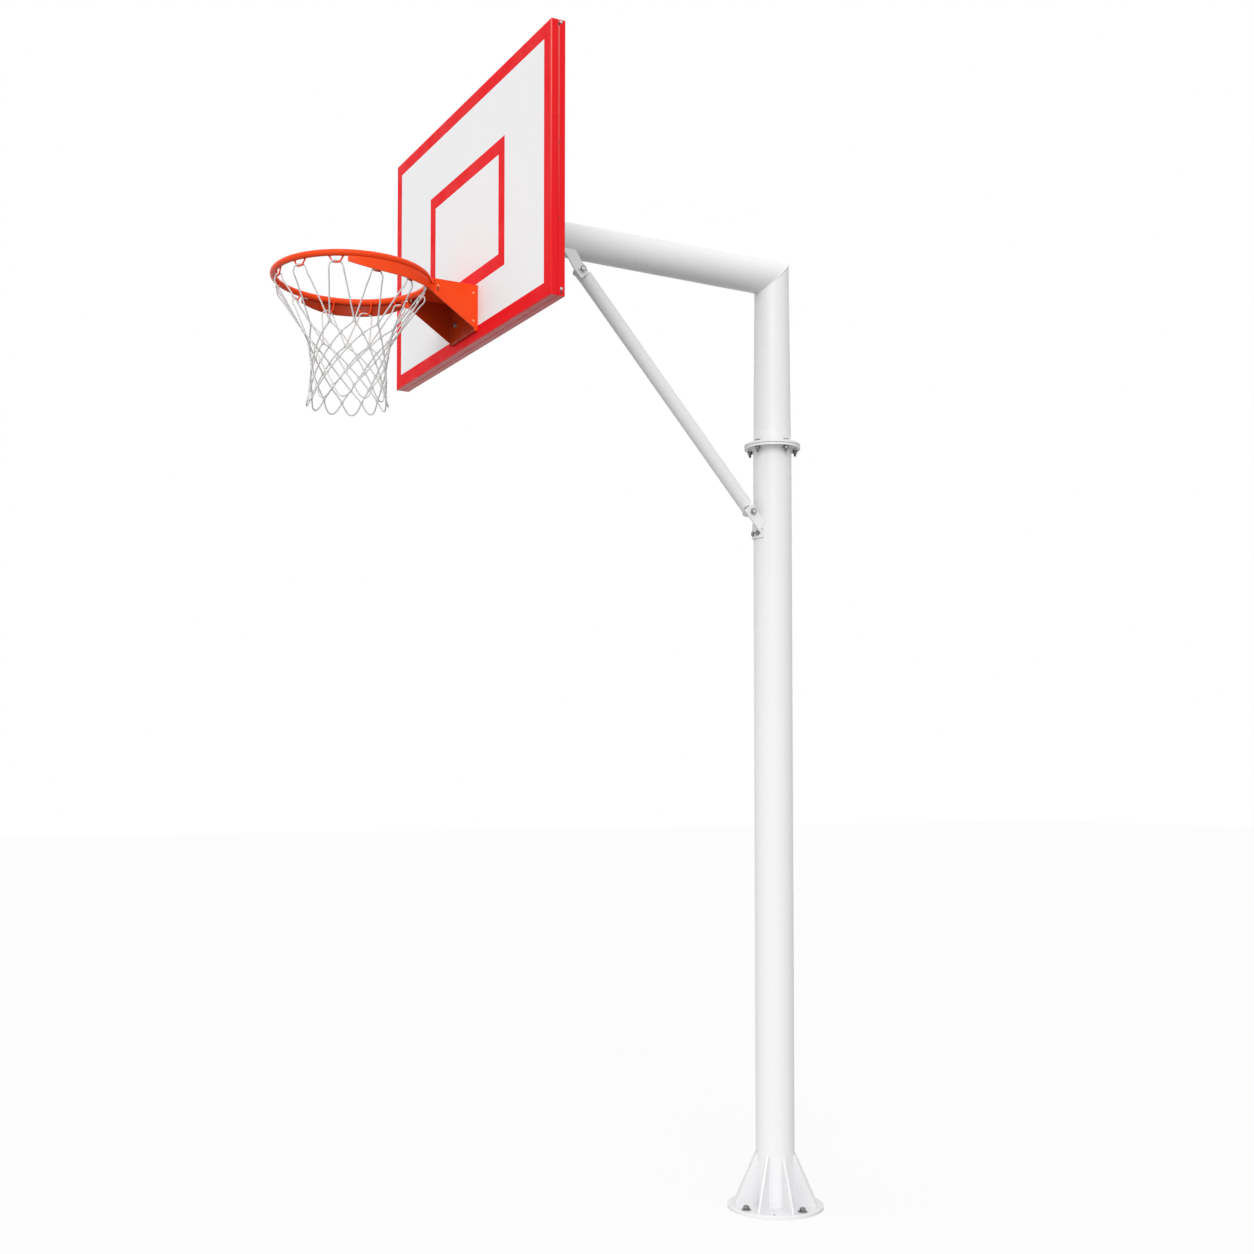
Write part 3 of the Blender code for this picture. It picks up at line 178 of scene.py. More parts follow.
# Rim and hooks.
RIM_CENTRE = Vector((0.0, BOARD_FRONT - 0.381, 3.038))
RIM_RADIUS = 0.2366
RIM_STEPS = 144
BAR_RADIUS = 0.010
HOOK_COUNT = 12
HOOK_BAR_RADIUS = 0.0025
HOOK_RADIUS = RIM_RADIUS - 0.0065
HOOK_WIDTH = 0.040
HOOK_FOOT_WIDTH = 0.020
HOOK_DROP = 0.0265
HOOK_FOOT = RIM_CENTRE.z - HOOK_DROP
HOOK_TOP_GAP = 0.001
HOOK_STEP = 0.002
HOOK_WELD_OUT = 0.0005
HOOK_WELD_DROP = 0.0075
HOOK_WELD_SIZE = (0.0052, 0.0040, 0.0034)
BEHIND_WING = (3, 4, 8, 9)
LONGER_BY = 0.017

# Bracket.
BRACKET_HALF_WIDTH = 0.101
BRACKET_SHEET = 0.004
BRACKET_FOOT = 2.903
BACK_PLATE_FRONT = BOARD_FRONT - 0.0083
WING_RADIUS = RIM_RADIUS + 0.0045
SKIN = 0.0004
BRACKET_BEAD = 0.0024
OUTER_BEAD = BRACKET_BEAD * 0.6
EDGE_BEAD = BRACKET_BEAD * 0.8
OUTER_BEAD_ENDS = (BRACKET_FOOT + 0.002, 3.044)
INNER_BEAD_ENDS = (BRACKET_FOOT + 0.004, 3.038)
WING_BEAD_START = math.radians(74)
WING_BEAD_SPAN = math.radians(150) - WING_BEAD_START
WING_BEAD_INSET = 0.003
WING_BEAD_HEIGHT = RIM_CENTRE.z - BAR_RADIUS + 0.0006
# The weld at each upper corner: turns in degrees, distances from the rim's axis, and heights.
CORNER_WELD = ((157.6, 0.2465, 3.0445), (156.6, 0.2490, 3.0370), (155.8, 0.2520, 3.0290))
CORNER_BEAD = 0.0052
FOOT_BEAD = 0.0034
FOOT_BEAD_OUT = 0.0010
FOOT_BEAD_ENDS = (0.0016, 0.0060)
FRONT_BEAD_INSET = 0.005
FRONT_BEAD_RADIUS = RIM_RADIUS + BAR_RADIUS * 0.9
FRONT_BEAD_HEIGHT = 3.0452
PLUG_HEIGHTS = (2.933, 3.0215)
PLUG_INSET = 0.0065
PLUG_SIZE = (0.0012, 0.0036, 0.0036)
SLOT_PLACE = (-1.3215, 3.0165)
SLOT_HALF_SIZE = (0.0030, 0.0072)
SLOT_DAB_OFFSET = Vector((0, 0.0005, 0.0100))
SLOT_DAB_SIZE = (0.0012, 0.0034, 0.0030)

# Stay.
STAY_TOP = Vector((0.0, -0.779, 3.187))
STAY_FOOT = Vector((0.0, -0.1035, 2.4342))
STAY_RADIUS = 0.0483 / 2
STAY_RISE = 0.0093
STAY_END_GAP = 0.027
STAY_ALONG = (STAY_TOP - STAY_FOOT).normalized()
STAY_ACROSS = Vector((0, STAY_ALONG.z, -STAY_ALONG.y))
STAY_BEAD = 0.0022
STAY_NUT_FACE = 0.010
LUG_OUTER_FACE = STAY_RADIUS + 0.006

# Net: its outline and its rows.
KNOT_ROWS = 6
MESH_SIDE = 0.0500
LOOP_LENGTH = 0.146
NECK_RADIUS = 0.1135
FLARE = 0.0295
FLARE_FALL = 0.038
FOOT_FLARE = 0.0042
FOOT_FLARE_START = 0.26
FOOT_FLARE_RUN = 0.085
FIRST_TWIST = math.radians(1.5)
TWIST_PER_ROW = math.radians(-2.3)
NET_LEAN = 0.027
SPACING_ROUNDS = 12
# Its cords: the wrap over a hook, the shoulders beside it, the legs below them, and the loops at the foot.
CORD_STEP = 0.0025
CORD_SIDES = 9
STRAND_MEAN = 0.96
STRAND_BULGE = 0.08
CORD_GAP = 0.0003
CROSSING_GAP = 0.0011
WRAP_TURN = math.radians(95)
WRAP_WIDTH = 0.015
SHOULDER_WIDTH = 0.0205
SHOULDER_DROP = 0.012
LEG_SHARES = (0.55, 0.2, 0.07)
LEG_SAG = 0.003
FOOT_LOOP = 0.038
FOOT_SPLAY = 0.007
FOOT_BLUNTNESS = 2.2
FOOT_PINCH = 0.10
# Its knots: half the depth and the cord's radius, in cord diameters.
KNOT_STEPS = 36
KNOT_DEPTH = 0.42
KNOT_CORD_RADIUS = 0.46

# Finishes and stage.
FASTENER_EDGE = 0.0005
STEEL_EDGE = 0.0008
COLOUR_RANGE = {"size": 3, "min": 0, "max": 1}
# A paler orange for the plug welds and the dab above the bracket's slot.
PALE_SPOT = (0.92, 0.46, 0.24)
# Share of the orange kept on the bracket's inner faces: painted shade.
INSIDE_SHADE = 0.42
CAMERA_PLACE = (4.5184, -3.1146, 1.4828)
CAMERA_SHIFT = (0.0105, 0.0747)
LAMP_ANGLE = math.radians(34)
LAMP_TURN = (math.radians(62), 0, math.radians(60))
DIMMEST_SKY = 0.03
FLOOR_REACH = 40.0
FLOOR_DROP = 0.0004
FLOOR_GREY = 0.8
FLOOR_GLOW = 0.85


class PaintSettings(PropertyGroup):
    """Colours of the paint, the zinc and the cord."""

    pole: FloatVectorProperty(
        name="Pole paint",
        description="Gloss paint of the pole, the arm and the stay",
        subtype="COLOR",
        default=(0.79, 0.79, 0.80),
        **COLOUR_RANGE,
    )
    face: FloatVectorProperty(
        name="Board face",
        description="Paint of the board's face",
        subtype="COLOR",
        default=(0.85, 0.85, 0.86),
        **COLOUR_RANGE,
    )
    line: FloatVectorProperty(
        name="Board lines",
        description="Red of the lines and of the board's edge",
        subtype="COLOR",
        default=(0.80, 0.006, 0.012),
        **COLOUR_RANGE,
    )
    back: FloatVectorProperty(
        name="Board back",
        description="Pale primer on the board's back and inside its frame",
        subtype="COLOR",
        default=(0.74, 0.74, 0.745),
        **COLOUR_RANGE,
    )
    rim: FloatVectorProperty(
        name="Rim paint",
        description="Orange of the rim and its bracket",
        subtype="COLOR",
        default=(0.90, 0.070, 0.010),
        **COLOUR_RANGE,
    )
    zinc: FloatVectorProperty(
        name="Zinc",
        description="Galvanised bolts and nuts",
        subtype="COLOR",
        default=(0.30, 0.305, 0.31),
        **COLOUR_RANGE,
    )
    # A lighter copy of the zinc on the tops of washers, bolt heads and rivets: a painted highlight.
    highlight_zinc: FloatVectorProperty(
        name="Bright zinc",
        description="Washers and bolt heads that are given a painted highlight",
        subtype="COLOR",
        default=(0.72, 0.725, 0.73),
        **COLOUR_RANGE,
    )
    cord: FloatVectorProperty(
        name="Cord",
        description="The net's cord",
        subtype="COLOR",
        default=(0.74, 0.74, 0.73),
        **COLOUR_RANGE,
    )


class NetSettings(PropertyGroup):
    """Sizes of the net's cord."""

    cord_diameter: FloatProperty(
        name="Cord diameter",
        description="Thickness of the net's cord",
        default=0.005,
        min=0.003,
        max=0.008,
        unit="LENGTH",
    )
    lay_length: FloatProperty(
        name="Lay length",
        description="Length of one turn of the cord's strands",
        default=0.016,
        min=0.005,
        max=0.05,
        unit="LENGTH",
    )
    knot_size: FloatProperty(
        name="Knot size",
        description="Half the width of a knot's loops",
        default=0.0042,
        min=0.002,
        max=0.008,
        unit="LENGTH",
    )


class WeldSettings(PropertyGroup):
    """Sizes of the weld beads."""

    bead_radius: FloatProperty(
        name="Bead radius",
        description="Radius of the weld beads on the pole",
        default=0.0026,
        min=0.001,
        max=0.008,
        unit="LENGTH",
    )
    ripple_pitch: FloatProperty(
        name="Ripple pitch",
        description="Distance between the ripples of a bead",
        default=0.0034,
        min=0.001,
        max=0.01,
        unit="LENGTH",
    )


class StageSettings(PropertyGroup):
    """Camera and light."""

    lens: FloatProperty(
        name="Lens",
        description="Focal length on a 36 mm sensor, in millimetres",
        default=44.28,
        min=20,
        max=120,
    )
    turn: FloatProperty(
        name="Camera turn",
        description="The camera's heading, from +Y towards -X",
        default=math.radians(61.33),
        subtype="ANGLE",
    )
    tilt: FloatProperty(
        name="Camera tilt",
        description="The camera's tilt above the horizon",
        default=math.radians(2.293),
        subtype="ANGLE",
    )
    sky: FloatProperty(
        name="Sky strength",
        description="Light from the horizon all round",
        default=0.61,
        min=0,
        max=3,
    )
    sky_slope: FloatProperty(
        name="Sky slope",
        description="How much more light comes from the zenith than from the horizon",
        default=0.44,
        min=0,
        max=3,
    )
    sky_lean: FloatProperty(
        name="Sky lean",
        description="How much more light comes from the board's front than from its back",
        default=0.44,
        min=0,
        max=3,
    )
    sky_heading: FloatProperty(
        name="Sky heading",
        description="Where the brighter side of the sky lies, from -Y towards +X",
        default=math.radians(32.0),
        subtype="ANGLE",
    )
    lamp: FloatProperty(
        name="Lamp strength",
        description="Strength of the broad lamp beside the camera",
        default=1.03,
        min=0,
        max=10,
    )


def polar(angle, radius, height=0.0):
    """A point at an angle from -Y towards +X."""
    return Vector((radius * math.sin(angle), -radius * math.cos(angle), height))


def turns(count):
    """Angles spread evenly over a whole turn."""
    return [2 * math.pi * i / count for i in range(count)]


def set_or_link(tree, socket, value):
    """Gives a socket a number or a colour, or links another socket to it."""
    if isinstance(value, bpy.types.NodeSocket):
        tree.links.new(value, socket)
    elif isinstance(value, (int, float)):
        socket.default_value = value
    else:
        socket.default_value = (*value, 1.0)


def math_node(tree, operation, *values):
    """A Math node of this tree; each value is a number or a socket. Returns its output."""
    node = tree.nodes.new("ShaderNodeMath")
    node.operation = operation
    for socket, value in zip(node.inputs, values):
        set_or_link(tree, socket, value)
    return node.outputs[0]


def product(tree, *values):
    """All the values multiplied, from the first on."""
    result, *others = values
    for value in others:
        result = math_node(tree, "MULTIPLY", result, value)
    return result


def distance_to(tree, value, level):
    """How far a value lies from a level, above it or below."""
    return math_node(tree, "ABSOLUTE", math_node(tree, "SUBTRACT", value, level))


def remap(tree, value, low, high, out_low, out_high):
    """Stretches the range from low to high over another one, and stops at its ends."""
    node = tree.nodes.new("ShaderNodeMapRange")
    labels = ("Value", "From Min", "From Max", "To Min", "To Max")
    for label, given in zip(labels, (value, low, high, out_low, out_high)):
        set_or_link(tree, node.inputs[label], given)
    return node.outputs[0]


def mix_colour(tree, factor, first, second, blend="MIX"):
    """Blends two colours; each is a colour or a socket."""
    node = tree.nodes.new("ShaderNodeMix")
    node.data_type = "RGBA"
    node.blend_type = blend
    for index, value in ((0, factor), (6, first), (7, second)):
        set_or_link(tree, node.inputs[index], value)
    return node.outputs[2]


def noise(tree, coordinates, scale, detail=2.0):
    """A noise pattern; its scale is a number or a socket."""
    node = tree.nodes.new("ShaderNodeTexNoise")
    node.inputs["Detail"].default_value = detail
    set_or_link(tree, node.inputs["Scale"], scale)
    tree.links.new(coordinates, node.inputs["Vector"])
    return node.outputs["Fac"]


def object_place(tree):
    """The spot's own place on the goal."""
    return tree.nodes.new("ShaderNodeTexCoord").outputs["Object"]


def split_xyz(tree, vector):
    """The three parts of a vector or a colour."""
    split = tree.nodes.new("ShaderNodeSeparateXYZ")
    tree.links.new(vector, split.inputs[0])
    return split.outputs


def socket_kind(label):
    """A socket whose name holds the word Colour carries a colour; any other carries a number."""
    return "NodeSocketColor" if "Colour" in label else "NodeSocketFloat"


def new_group(name, inputs, outputs):
    """A shader node group with named sockets, the inputs with their defaults, and its inside ends."""
    group = bpy.data.node_groups.new(name, "ShaderNodeTree")
    for label, default in inputs.items():
        socket = group.interface.new_socket(name=label, in_out="INPUT", socket_type=socket_kind(label))
        socket.default_value = default
    for label in outputs:
        group.interface.new_socket(name=label, in_out="OUTPUT", socket_type=socket_kind(label))
    return group, group.nodes.new("NodeGroupInput").outputs, group.nodes.new("NodeGroupOutput").inputs


def make_paint_film():
    """Sprayed paint: faint patches in its colour, uneven gloss and an orange-peel skin."""
    group, given, result = new_group(
        "paint_film",
        {"Colour": (0.8, 0.8, 0.8, 1), "Patchiness": 0.03, "Gloss Roughness": 0.25, "Peel Scale": 420.0},
        ("Colour", "Roughness", "Height"),
    )
    place = object_place(group)
    low = math_node(group, "SUBTRACT", 1.0, given["Patchiness"])
    shade = remap(group, noise(group, place, 2.6, 4.0), 0.3, 0.7, low, 1.0)
    group.links.new(mix_colour(group, 1.0, given["Colour"], shade, "MULTIPLY"), result["Colour"])
    spread = remap(group, noise(group, place, 14.0, 3.0), 0.3, 0.7, 0.85, 1.25)
    group.links.new(product(group, given["Gloss Roughness"], spread), result["Roughness"])
    group.links.new(noise(group, place, given["Peel Scale"], 1.5), result["Height"])


def make_yard_dust():
    """Dust and splashes that fade with height above the ground, and lie on what faces up."""
    group, given, result = new_group(
        "yard_dust",
        {"Colour": (0.8, 0.8, 0.8, 1), "Dust Colour": (0.42, 0.38, 0.33, 1), "Reach": 0.35, "Amount": 0.12},
        ("Colour", "Mask"),
    )
    place = object_place(group)
    height = remap(group, split_xyz(group, place)["Z"], 0.0, given["Reach"], 1.0, 0.0)
    near_ground = math_node(group, "POWER", height, 2.0)
    normal = group.nodes.new("ShaderNodeNewGeometry").outputs["Normal"]
    upward = remap(group, split_xyz(group, normal)["Z"], 0.55, 1.0, 0.0, 0.35)
    patches = remap(group, noise(group, place, 38.0, 5.0), 0.42, 0.66, 0.0, 1.0)
    both = math_node(group, "ADD", near_ground, upward)
    mask = math_node(group, "MINIMUM", product(group, both, patches, given["Amount"]), 1.0)
    group.links.new(mix_colour(group, mask, given["Colour"], given["Dust Colour"]), result["Colour"])
    group.links.new(mask, result["Mask"])


def make_zinc_grain():
    """Galvanised steel: small crystals that differ in brightness and gloss."""
    group, given, result = new_group(
        "zinc_grain",
        {"Colour": (0.5, 0.5, 0.52, 1), "Crystal Scale": 420.0, "Contrast": 0.35},
        ("Colour", "Roughness", "Height"),
    )
    place = object_place(group)
    cells = group.nodes.new("ShaderNodeTexVoronoi")
    group.links.new(place, cells.inputs["Vector"])
    group.links.new(given["Crystal Scale"], cells.inputs["Scale"])
    brightness, gloss, _ = split_xyz(group, cells.outputs["Color"])
    low = math_node(group, "SUBTRACT", 1.0, given["Contrast"])
    shade = remap(group, brightness, 0.0, 1.0, low, 1.0)
    group.links.new(mix_colour(group, 1.0, given["Colour"], shade, "MULTIPLY"), result["Colour"])
    group.links.new(remap(group, gloss, 0.0, 1.0, 0.28, 0.48), result["Roughness"])
    group.links.new(noise(group, place, 900.0), result["Height"])


def make_fold_highlight():
    """A painted highlight in pale red on the upright folds at the board's sides, strongest near the top."""
    group, given, result = new_group(
        "fold_highlight",
        {
            "Colour": (0.8, 0.0, 0.0, 1),
            "Highlight Colour": (0.85, 0.24, 0.20, 1),
            "Amount": 0.75,
            "Depth": 0.0,
            "Width": 0.003,
        },
        ("Colour", "Mask"),
    )
    place = object_place(group)
    x, y, z = split_xyz(group, place)
    from_fold = distance_to(group, math_node(group, "SUBTRACT", y, BOARD_FRONT), given["Depth"])
    near = remap(group, math_node(group, "DIVIDE", from_fold, given["Width"]), 0.5, 1.0, 1.0, 0.0)
    across = math_node(group, "ABSOLUTE", x)
    at_side = remap(group, across, BOARD_WIDTH / 2 - 0.0030, BOARD_WIDTH / 2 - 0.0012, 0.0, 1.0)
    height = remap(group, z, HIGHLIGHT_FOOT, HIGHLIGHT_TOP, 0.0, 1.0)
    patches = remap(group, noise(group, place, 22.0, 4.0), 0.3, 0.7, 0.75, 1.0)
    mask = product(group, near, at_side, height, patches, given["Amount"])
    group.links.new(mix_colour(group, mask, given["Colour"], given["Highlight Colour"]), result["Colour"])
    group.links.new(mask, result["Mask"])


def new_material(name, metallic=0.0, specular=0.5):
    """The node tree and the Principled shader of a new material; the caller links its look in."""
    material = bpy.data.materials.new(name)
    material.use_nodes = True
    shader = material.node_tree.nodes["Principled BSDF"]
    shader.inputs["Metallic"].default_value = metallic
    shader.inputs["Specular IOR Level"].default_value = specular
    return material.node_tree, shader


def add_group(tree, name, **values):
    """Places a node group and sets or links its inputs by name; underscores stand for spaces."""
    node = tree.nodes.new("ShaderNodeGroup")
    node.node_tree = bpy.data.node_groups[name]
    for label, value in values.items():
        set_or_link(tree, node.inputs[label.replace("_", " ")], value)
    return node.outputs


def add_bump(tree, shader, height, distance):
    """Links a height to the shader's normal."""
    bump = tree.nodes.new("ShaderNodeBump")
    bump.inputs["Strength"].default_value = 1.0
    bump.inputs["Distance"].default_value = distance
    tree.links.new(height, bump.inputs["Height"])
    tree.links.new(bump.outputs["Normal"], shader.inputs["Normal"])


def dust_over(tree, shader, finish, dust, dust_roughness=0.0):
    """Links a finish to the shader, with dust on its colour; the dust can dull its gloss too."""
    dusty = add_group(tree, "yard_dust", Colour=finish["Colour"], Amount=dust)
    tree.links.new(dusty["Colour"], shader.inputs["Base Color"])
    rough = finish["Roughness"]
    if dust_roughness:
        rough = math_node(tree, "ADD", rough, product(tree, dusty["Mask"], dust_roughness))
    tree.links.new(rough, shader.inputs["Roughness"])


def make_painted(name, colour, gloss, patchiness, dust, peel, specular):
    """Painted steel, with a little dust."""
    tree, shader = new_material(name, specular=specular)
    film = add_group(tree, "paint_film", Colour=colour, Patchiness=patchiness, Gloss_Roughness=gloss)
    dust_over(tree, shader, film, dust, dust_roughness=0.5)
    add_bump(tree, shader, film["Height"], peel)


def board_inset(tree, x, z):
    """How far a spot lies inside the board's outer edge, as seen from the front."""
    side = math_node(tree, "SUBTRACT", BOARD_WIDTH / 2, math_node(tree, "ABSOLUTE", x))
    up = distance_to(tree, z, BOARD_FOOT + BOARD_HEIGHT / 2)
    return math_node(tree, "MINIMUM", side, math_node(tree, "SUBTRACT", BOARD_HEIGHT / 2, up))


def painted_inside_shade_mask(tree):
    """1 on the bracket's inner faces, in the box and along the wings, where the orange is darkened as
    painted shade.
    """
    x, y, z = split_xyz(tree, object_place(tree))
    across = math_node(tree, "ABSOLUTE", x)
    along = math_node(tree, "SUBTRACT", y, RIM_CENTRE.y)
    inner = BRACKET_HALF_WIDTH - BRACKET_SHEET
    between = remap(tree, across, inner + 0.0010, inner + 0.0018, 1.0, 0.0)
    behind = remap(tree, along, 0.19, 0.24, 0.0, 1.0)
    below = remap(tree, z, RIM_CENTRE.z - 0.002, RIM_CENTRE.z + 0.004, 1.0, 0.0)
    box = product(tree, between, behind, below)
    square = math_node(tree, "ADD", product(tree, across, across), product(tree, along, along))
    from_centre = math_node(tree, "SQRT", square)
    wing = remap(tree, from_centre, WING_RADIUS - 0.0010, WING_RADIUS - 0.0004, 1.0, 0.0)
    return math_node(tree, "MAXIMUM", box, wing)


def make_rim_paint(name, colour, painted_inside_shade):
    """Orange gloss; on the bracket's inner faces it is darkened as painted shade."""
    tree, shader = new_material(name, specular=0.12)
    if painted_inside_shade:
        # Painted shade: a darker orange on the bracket's inner faces.
        shaded = tuple(INSIDE_SHADE * value for value in colour)
        colour = mix_colour(tree, painted_inside_shade_mask(tree), colour, shaded)
    film = add_group(tree, "paint_film", Colour=colour, Patchiness=0.05, Gloss_Roughness=0.26)
    dust_over(tree, shader, film, 0.02)
    add_bump(tree, shader, film["Height"], 0.00001)


def line_mask(tree, x, z):
    """1 on the board's red lines, 0 on the bare face."""
    border = math_node(tree, "SUBTRACT", BOARD_LINE, board_inset(tree, x, z))
    target_up = distance_to(tree, z, BOARD_FOOT + TARGET_FOOT + TARGET_HEIGHT / 2)
    target_side = math_node(tree, "SUBTRACT", math_node(tree, "ABSOLUTE", x), TARGET_WIDTH / 2)
    target_top = math_node(tree, "SUBTRACT", target_up, TARGET_HEIGHT / 2)
    outside = math_node(tree, "MAXIMUM", target_side, target_top)
    from_middle = math_node(tree, "ABSOLUTE", math_node(tree, "ADD", outside, BOARD_LINE / 2))
    band = math_node(tree, "SUBTRACT", BOARD_LINE / 2, from_middle)
    printed = math_node(tree, "MAXIMUM", border, band)
    return remap(tree, printed, -0.0002, 0.0002, 0.0, 1.0)


def shell_mask(tree, flange):
    """1 on the board's outer edges, and on its rear flange where there is one; 0 inside and on the back."""
    x, y, z = split_xyz(tree, object_place(tree))
    inset = board_inset(tree, x, z)
    outside = remap(tree, inset, 0.0030, 0.0034, 1.0, 0.0)
    if not flange:
        return outside
    on_back = remap(tree, distance_to(tree, y, BOARD_FRONT + BOARD_DEPTH), 0.0003, 0.0005, 1.0, 0.0)
    near_edge = remap(tree, inset, 0.0402, 0.0406, 1.0, 0.0)
    return math_node(tree, "MAXIMUM", outside, product(tree, on_back, near_edge))


def make_edge_paint(name, paint, fold_depth, fold_width, flange):
    """Glossy red on the board's outer edges with a painted highlight at the folds, and pale primer behind.
    """
    tree, shader = new_material(name, specular=0.16)
    fold = {"Depth": fold_depth, "Width": fold_width, "Amount": 0.7}
    # The folds get a painted highlight in pale red.
    highlighted = add_group(tree, "fold_highlight", Colour=paint.line, **fold)
    colour = mix_colour(tree, shell_mask(tree, flange), paint.back, highlighted["Colour"])
    film = add_group(tree, "paint_film", Colour=colour, Patchiness=0.03, Gloss_Roughness=0.24)
    dust_over(tree, shader, film, 0.03)
    add_bump(tree, shader, film["Height"], 0.000003)


def make_board_face(paint):
    """The board's painted face, with its border and target printed in red."""
    tree, shader = new_material("board_face", specular=0.06)
    x, y, z = split_xyz(tree, object_place(tree))
    mask = line_mask(tree, x, z)
    behind = remap(tree, y, BOARD_FRONT + 0.0008, BOARD_FRONT + 0.0012, 0.0, 1.0)
    colour = mix_colour(tree, behind, mix_colour(tree, mask, paint.face, paint.line), paint.back)
    skin = {"Patchiness": 0.012, "Gloss_Roughness": 0.45, "Peel_Scale": 300.0}
    film = add_group(tree, "paint_film", Colour=colour, **skin)
    dust_over(tree, shader, film, 0.015)
    raised = math_node(tree, "ADD", product(tree, mask, 1.6), film["Height"])
    add_bump(tree, shader, raised, 0.00002)


def make_zinc(name, colour):
    """Galvanised steel, dusty near the ground."""
    tree, shader = new_material(name, metallic=0.85)
    grain = add_group(tree, "zinc_grain", Colour=colour)
    dust_over(tree, shader, grain, 0.12)
    add_bump(tree, shader, grain["Height"], 0.00004)


def make_cord_material(paint):
    """Spun cord: fine fibres that run round with its strands."""
    tree, shader = new_material("net_cord", specular=0.2)
    shader.inputs["Sheen Weight"].default_value = 0.25
    stretch = tree.nodes.new("ShaderNodeMapping")
    stretch.inputs["Rotation"].default_value = (0, 0, math.radians(28))
    stretch.inputs["Scale"].default_value = (5.0, 300.0, 1.0)
    tree.links.new(tree.nodes.new("ShaderNodeTexCoord").outputs["UV"], stretch.inputs["Vector"])
    fibres = noise(tree, stretch.outputs["Vector"], 4.0, 3.0)
    shade = remap(tree, fibres, 0.3, 0.7, 0.86, 1.0)
    grubby = remap(tree, noise(tree, object_place(tree), 9.0, 3.0), 0.35, 0.7, 1.0, 0.93)
    colour = mix_colour(tree, 1.0, paint.cord, shade, "MULTIPLY")
    tree.links.new(mix_colour(tree, 1.0, colour, grubby, "MULTIPLY"), shader.inputs["Base Color"])
    tree.links.new(remap(tree, fibres, 0.3, 0.7, 0.9, 0.75), shader.inputs["Roughness"])
    add_bump(tree, shader, fibres, 0.0003)


def make_recess(name, deep, shallow):
    """Painted shade: the dim inside of a small hole, a slot or a joint."""
    tree, shader = new_material(name)
    shade = noise(tree, object_place(tree), 300.0)
    tree.links.new(mix_colour(tree, shade, deep, shallow), shader.inputs["Base Color"])
    shader.inputs["Roughness"].default_value = 0.9


def paint_slots():
    """Which finish goes on which CAD node, by the record's slots."""
    slots = {entry["node"]: entry["material_slot"] for entry in frame["record"]["subparts"]}
    looks = {
        "pole_white": "pole_paint",
        "board_red": "edge_paint",
        "rim_orange": "rim_paint",
        "zinc": "zinc_plate",
        "cord": "net_cord",
    }
    return {node: looks[slot] for node, slot in slots.items()}


def soften(obj, width):
    """Shades a node smooth and takes its sharp edges off; a folded edge gets its own, wider radius."""
    mesh = obj.data
    if "custom_normal" in mesh.attributes:
        mesh.attributes.remove(mesh.attributes["custom_normal"])
    mesh.shade_smooth()
    join = obj.modifiers.new("join", "WELD")
    join.merge_threshold = 0.00002
    if obj.name in FOLDS:
        round_folds(obj, *FOLDS[obj.name])
    edges = obj.modifiers.new("edges", "BEVEL")
    edges.width = width
    edges.segments = 2
    edges.limit_method = "ANGLE"
    edges.angle_limit = math.radians(38)
    edges.harden_normals = obj.name not in FOLDS
    if obj.name in FOLDS:
        flat = obj.modifiers.new("flat_faces", "WEIGHTED_NORMAL")
        flat.weight = 100


def on_board_edge(point):
    """Whether a point lies on the board's outer edge, seen from the front."""
    across = abs(abs(point.x) - BOARD_WIDTH / 2)
    up = abs(abs(point.z - BOARD_FOOT - BOARD_HEIGHT / 2) - BOARD_HEIGHT / 2)
    return min(across, up) < 0.0002


def split_finish(panel):
    """Gives the face tray's folded edge its own, glossier paint."""
    panel.data.materials.append(bpy.data.materials["edge_paint"])
    for polygon in panel.data.polygons:
        folded = on_board_edge(polygon.center) and polygon.center.y > BOARD_FRONT + 0.0005
        polygon.material_index = 1 if folded else 0


def round_folds(obj, radius, depths):
    """Rounds the board's long folded edges, which lie at these distances behind its face."""
    mesh = obj.data
    weights = mesh.attributes.new("bevel_weight_edge", "FLOAT", "EDGE")
    for edge in mesh.edges:
        start, end = (mesh.vertices[i].co for i in edge.vertices)
        level = start.y - BOARD_FRONT
        folded = abs(start.y - end.y) < 0.0001 and any(abs(level - depth) < 0.0003 for depth in depths)
        upright = abs(start.x - end.x) < 0.0001
        folded = folded and (upright or level < 0.001) and on_board_edge(start) and on_board_edge(end)
        weights.data[edge.index].value = 1.0 if folded else 0.0
    folds = obj.modifiers.new("folds", "BEVEL")
    folds.width = radius
    folds.segments = 4
    folds.limit_method = "WEIGHT"
    folds.use_clamp_overlap = False
    folds.material = len(mesh.materials) - 1


def finish_piece(name, shape, material, replaced=()):
    """Makes a riding piece from a bmesh; it may stand in for nodes of the frame."""
    mesh = bpy.data.meshes.new(name)
    bmesh.ops.recalc_face_normals(shape, faces=shape.faces)
    shape.to_mesh(mesh)
    shape.free()
    mesh.materials.append(bpy.data.materials[material])
    # The second finish, a lighter zinc, is a painted highlight on the tops.
    if material == "zinc_plate":
        mesh.materials.append(bpy.data.materials["highlight_zinc"])
    mesh.shade_smooth()
    mesh.set_sharp_from_angle(angle=math.radians(50))
    piece = bpy.data.objects.new(name, mesh)
    bpy.context.scene.collection.objects.link(piece)
    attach(piece, BODY)
    if replaced:
        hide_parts(*replaced)


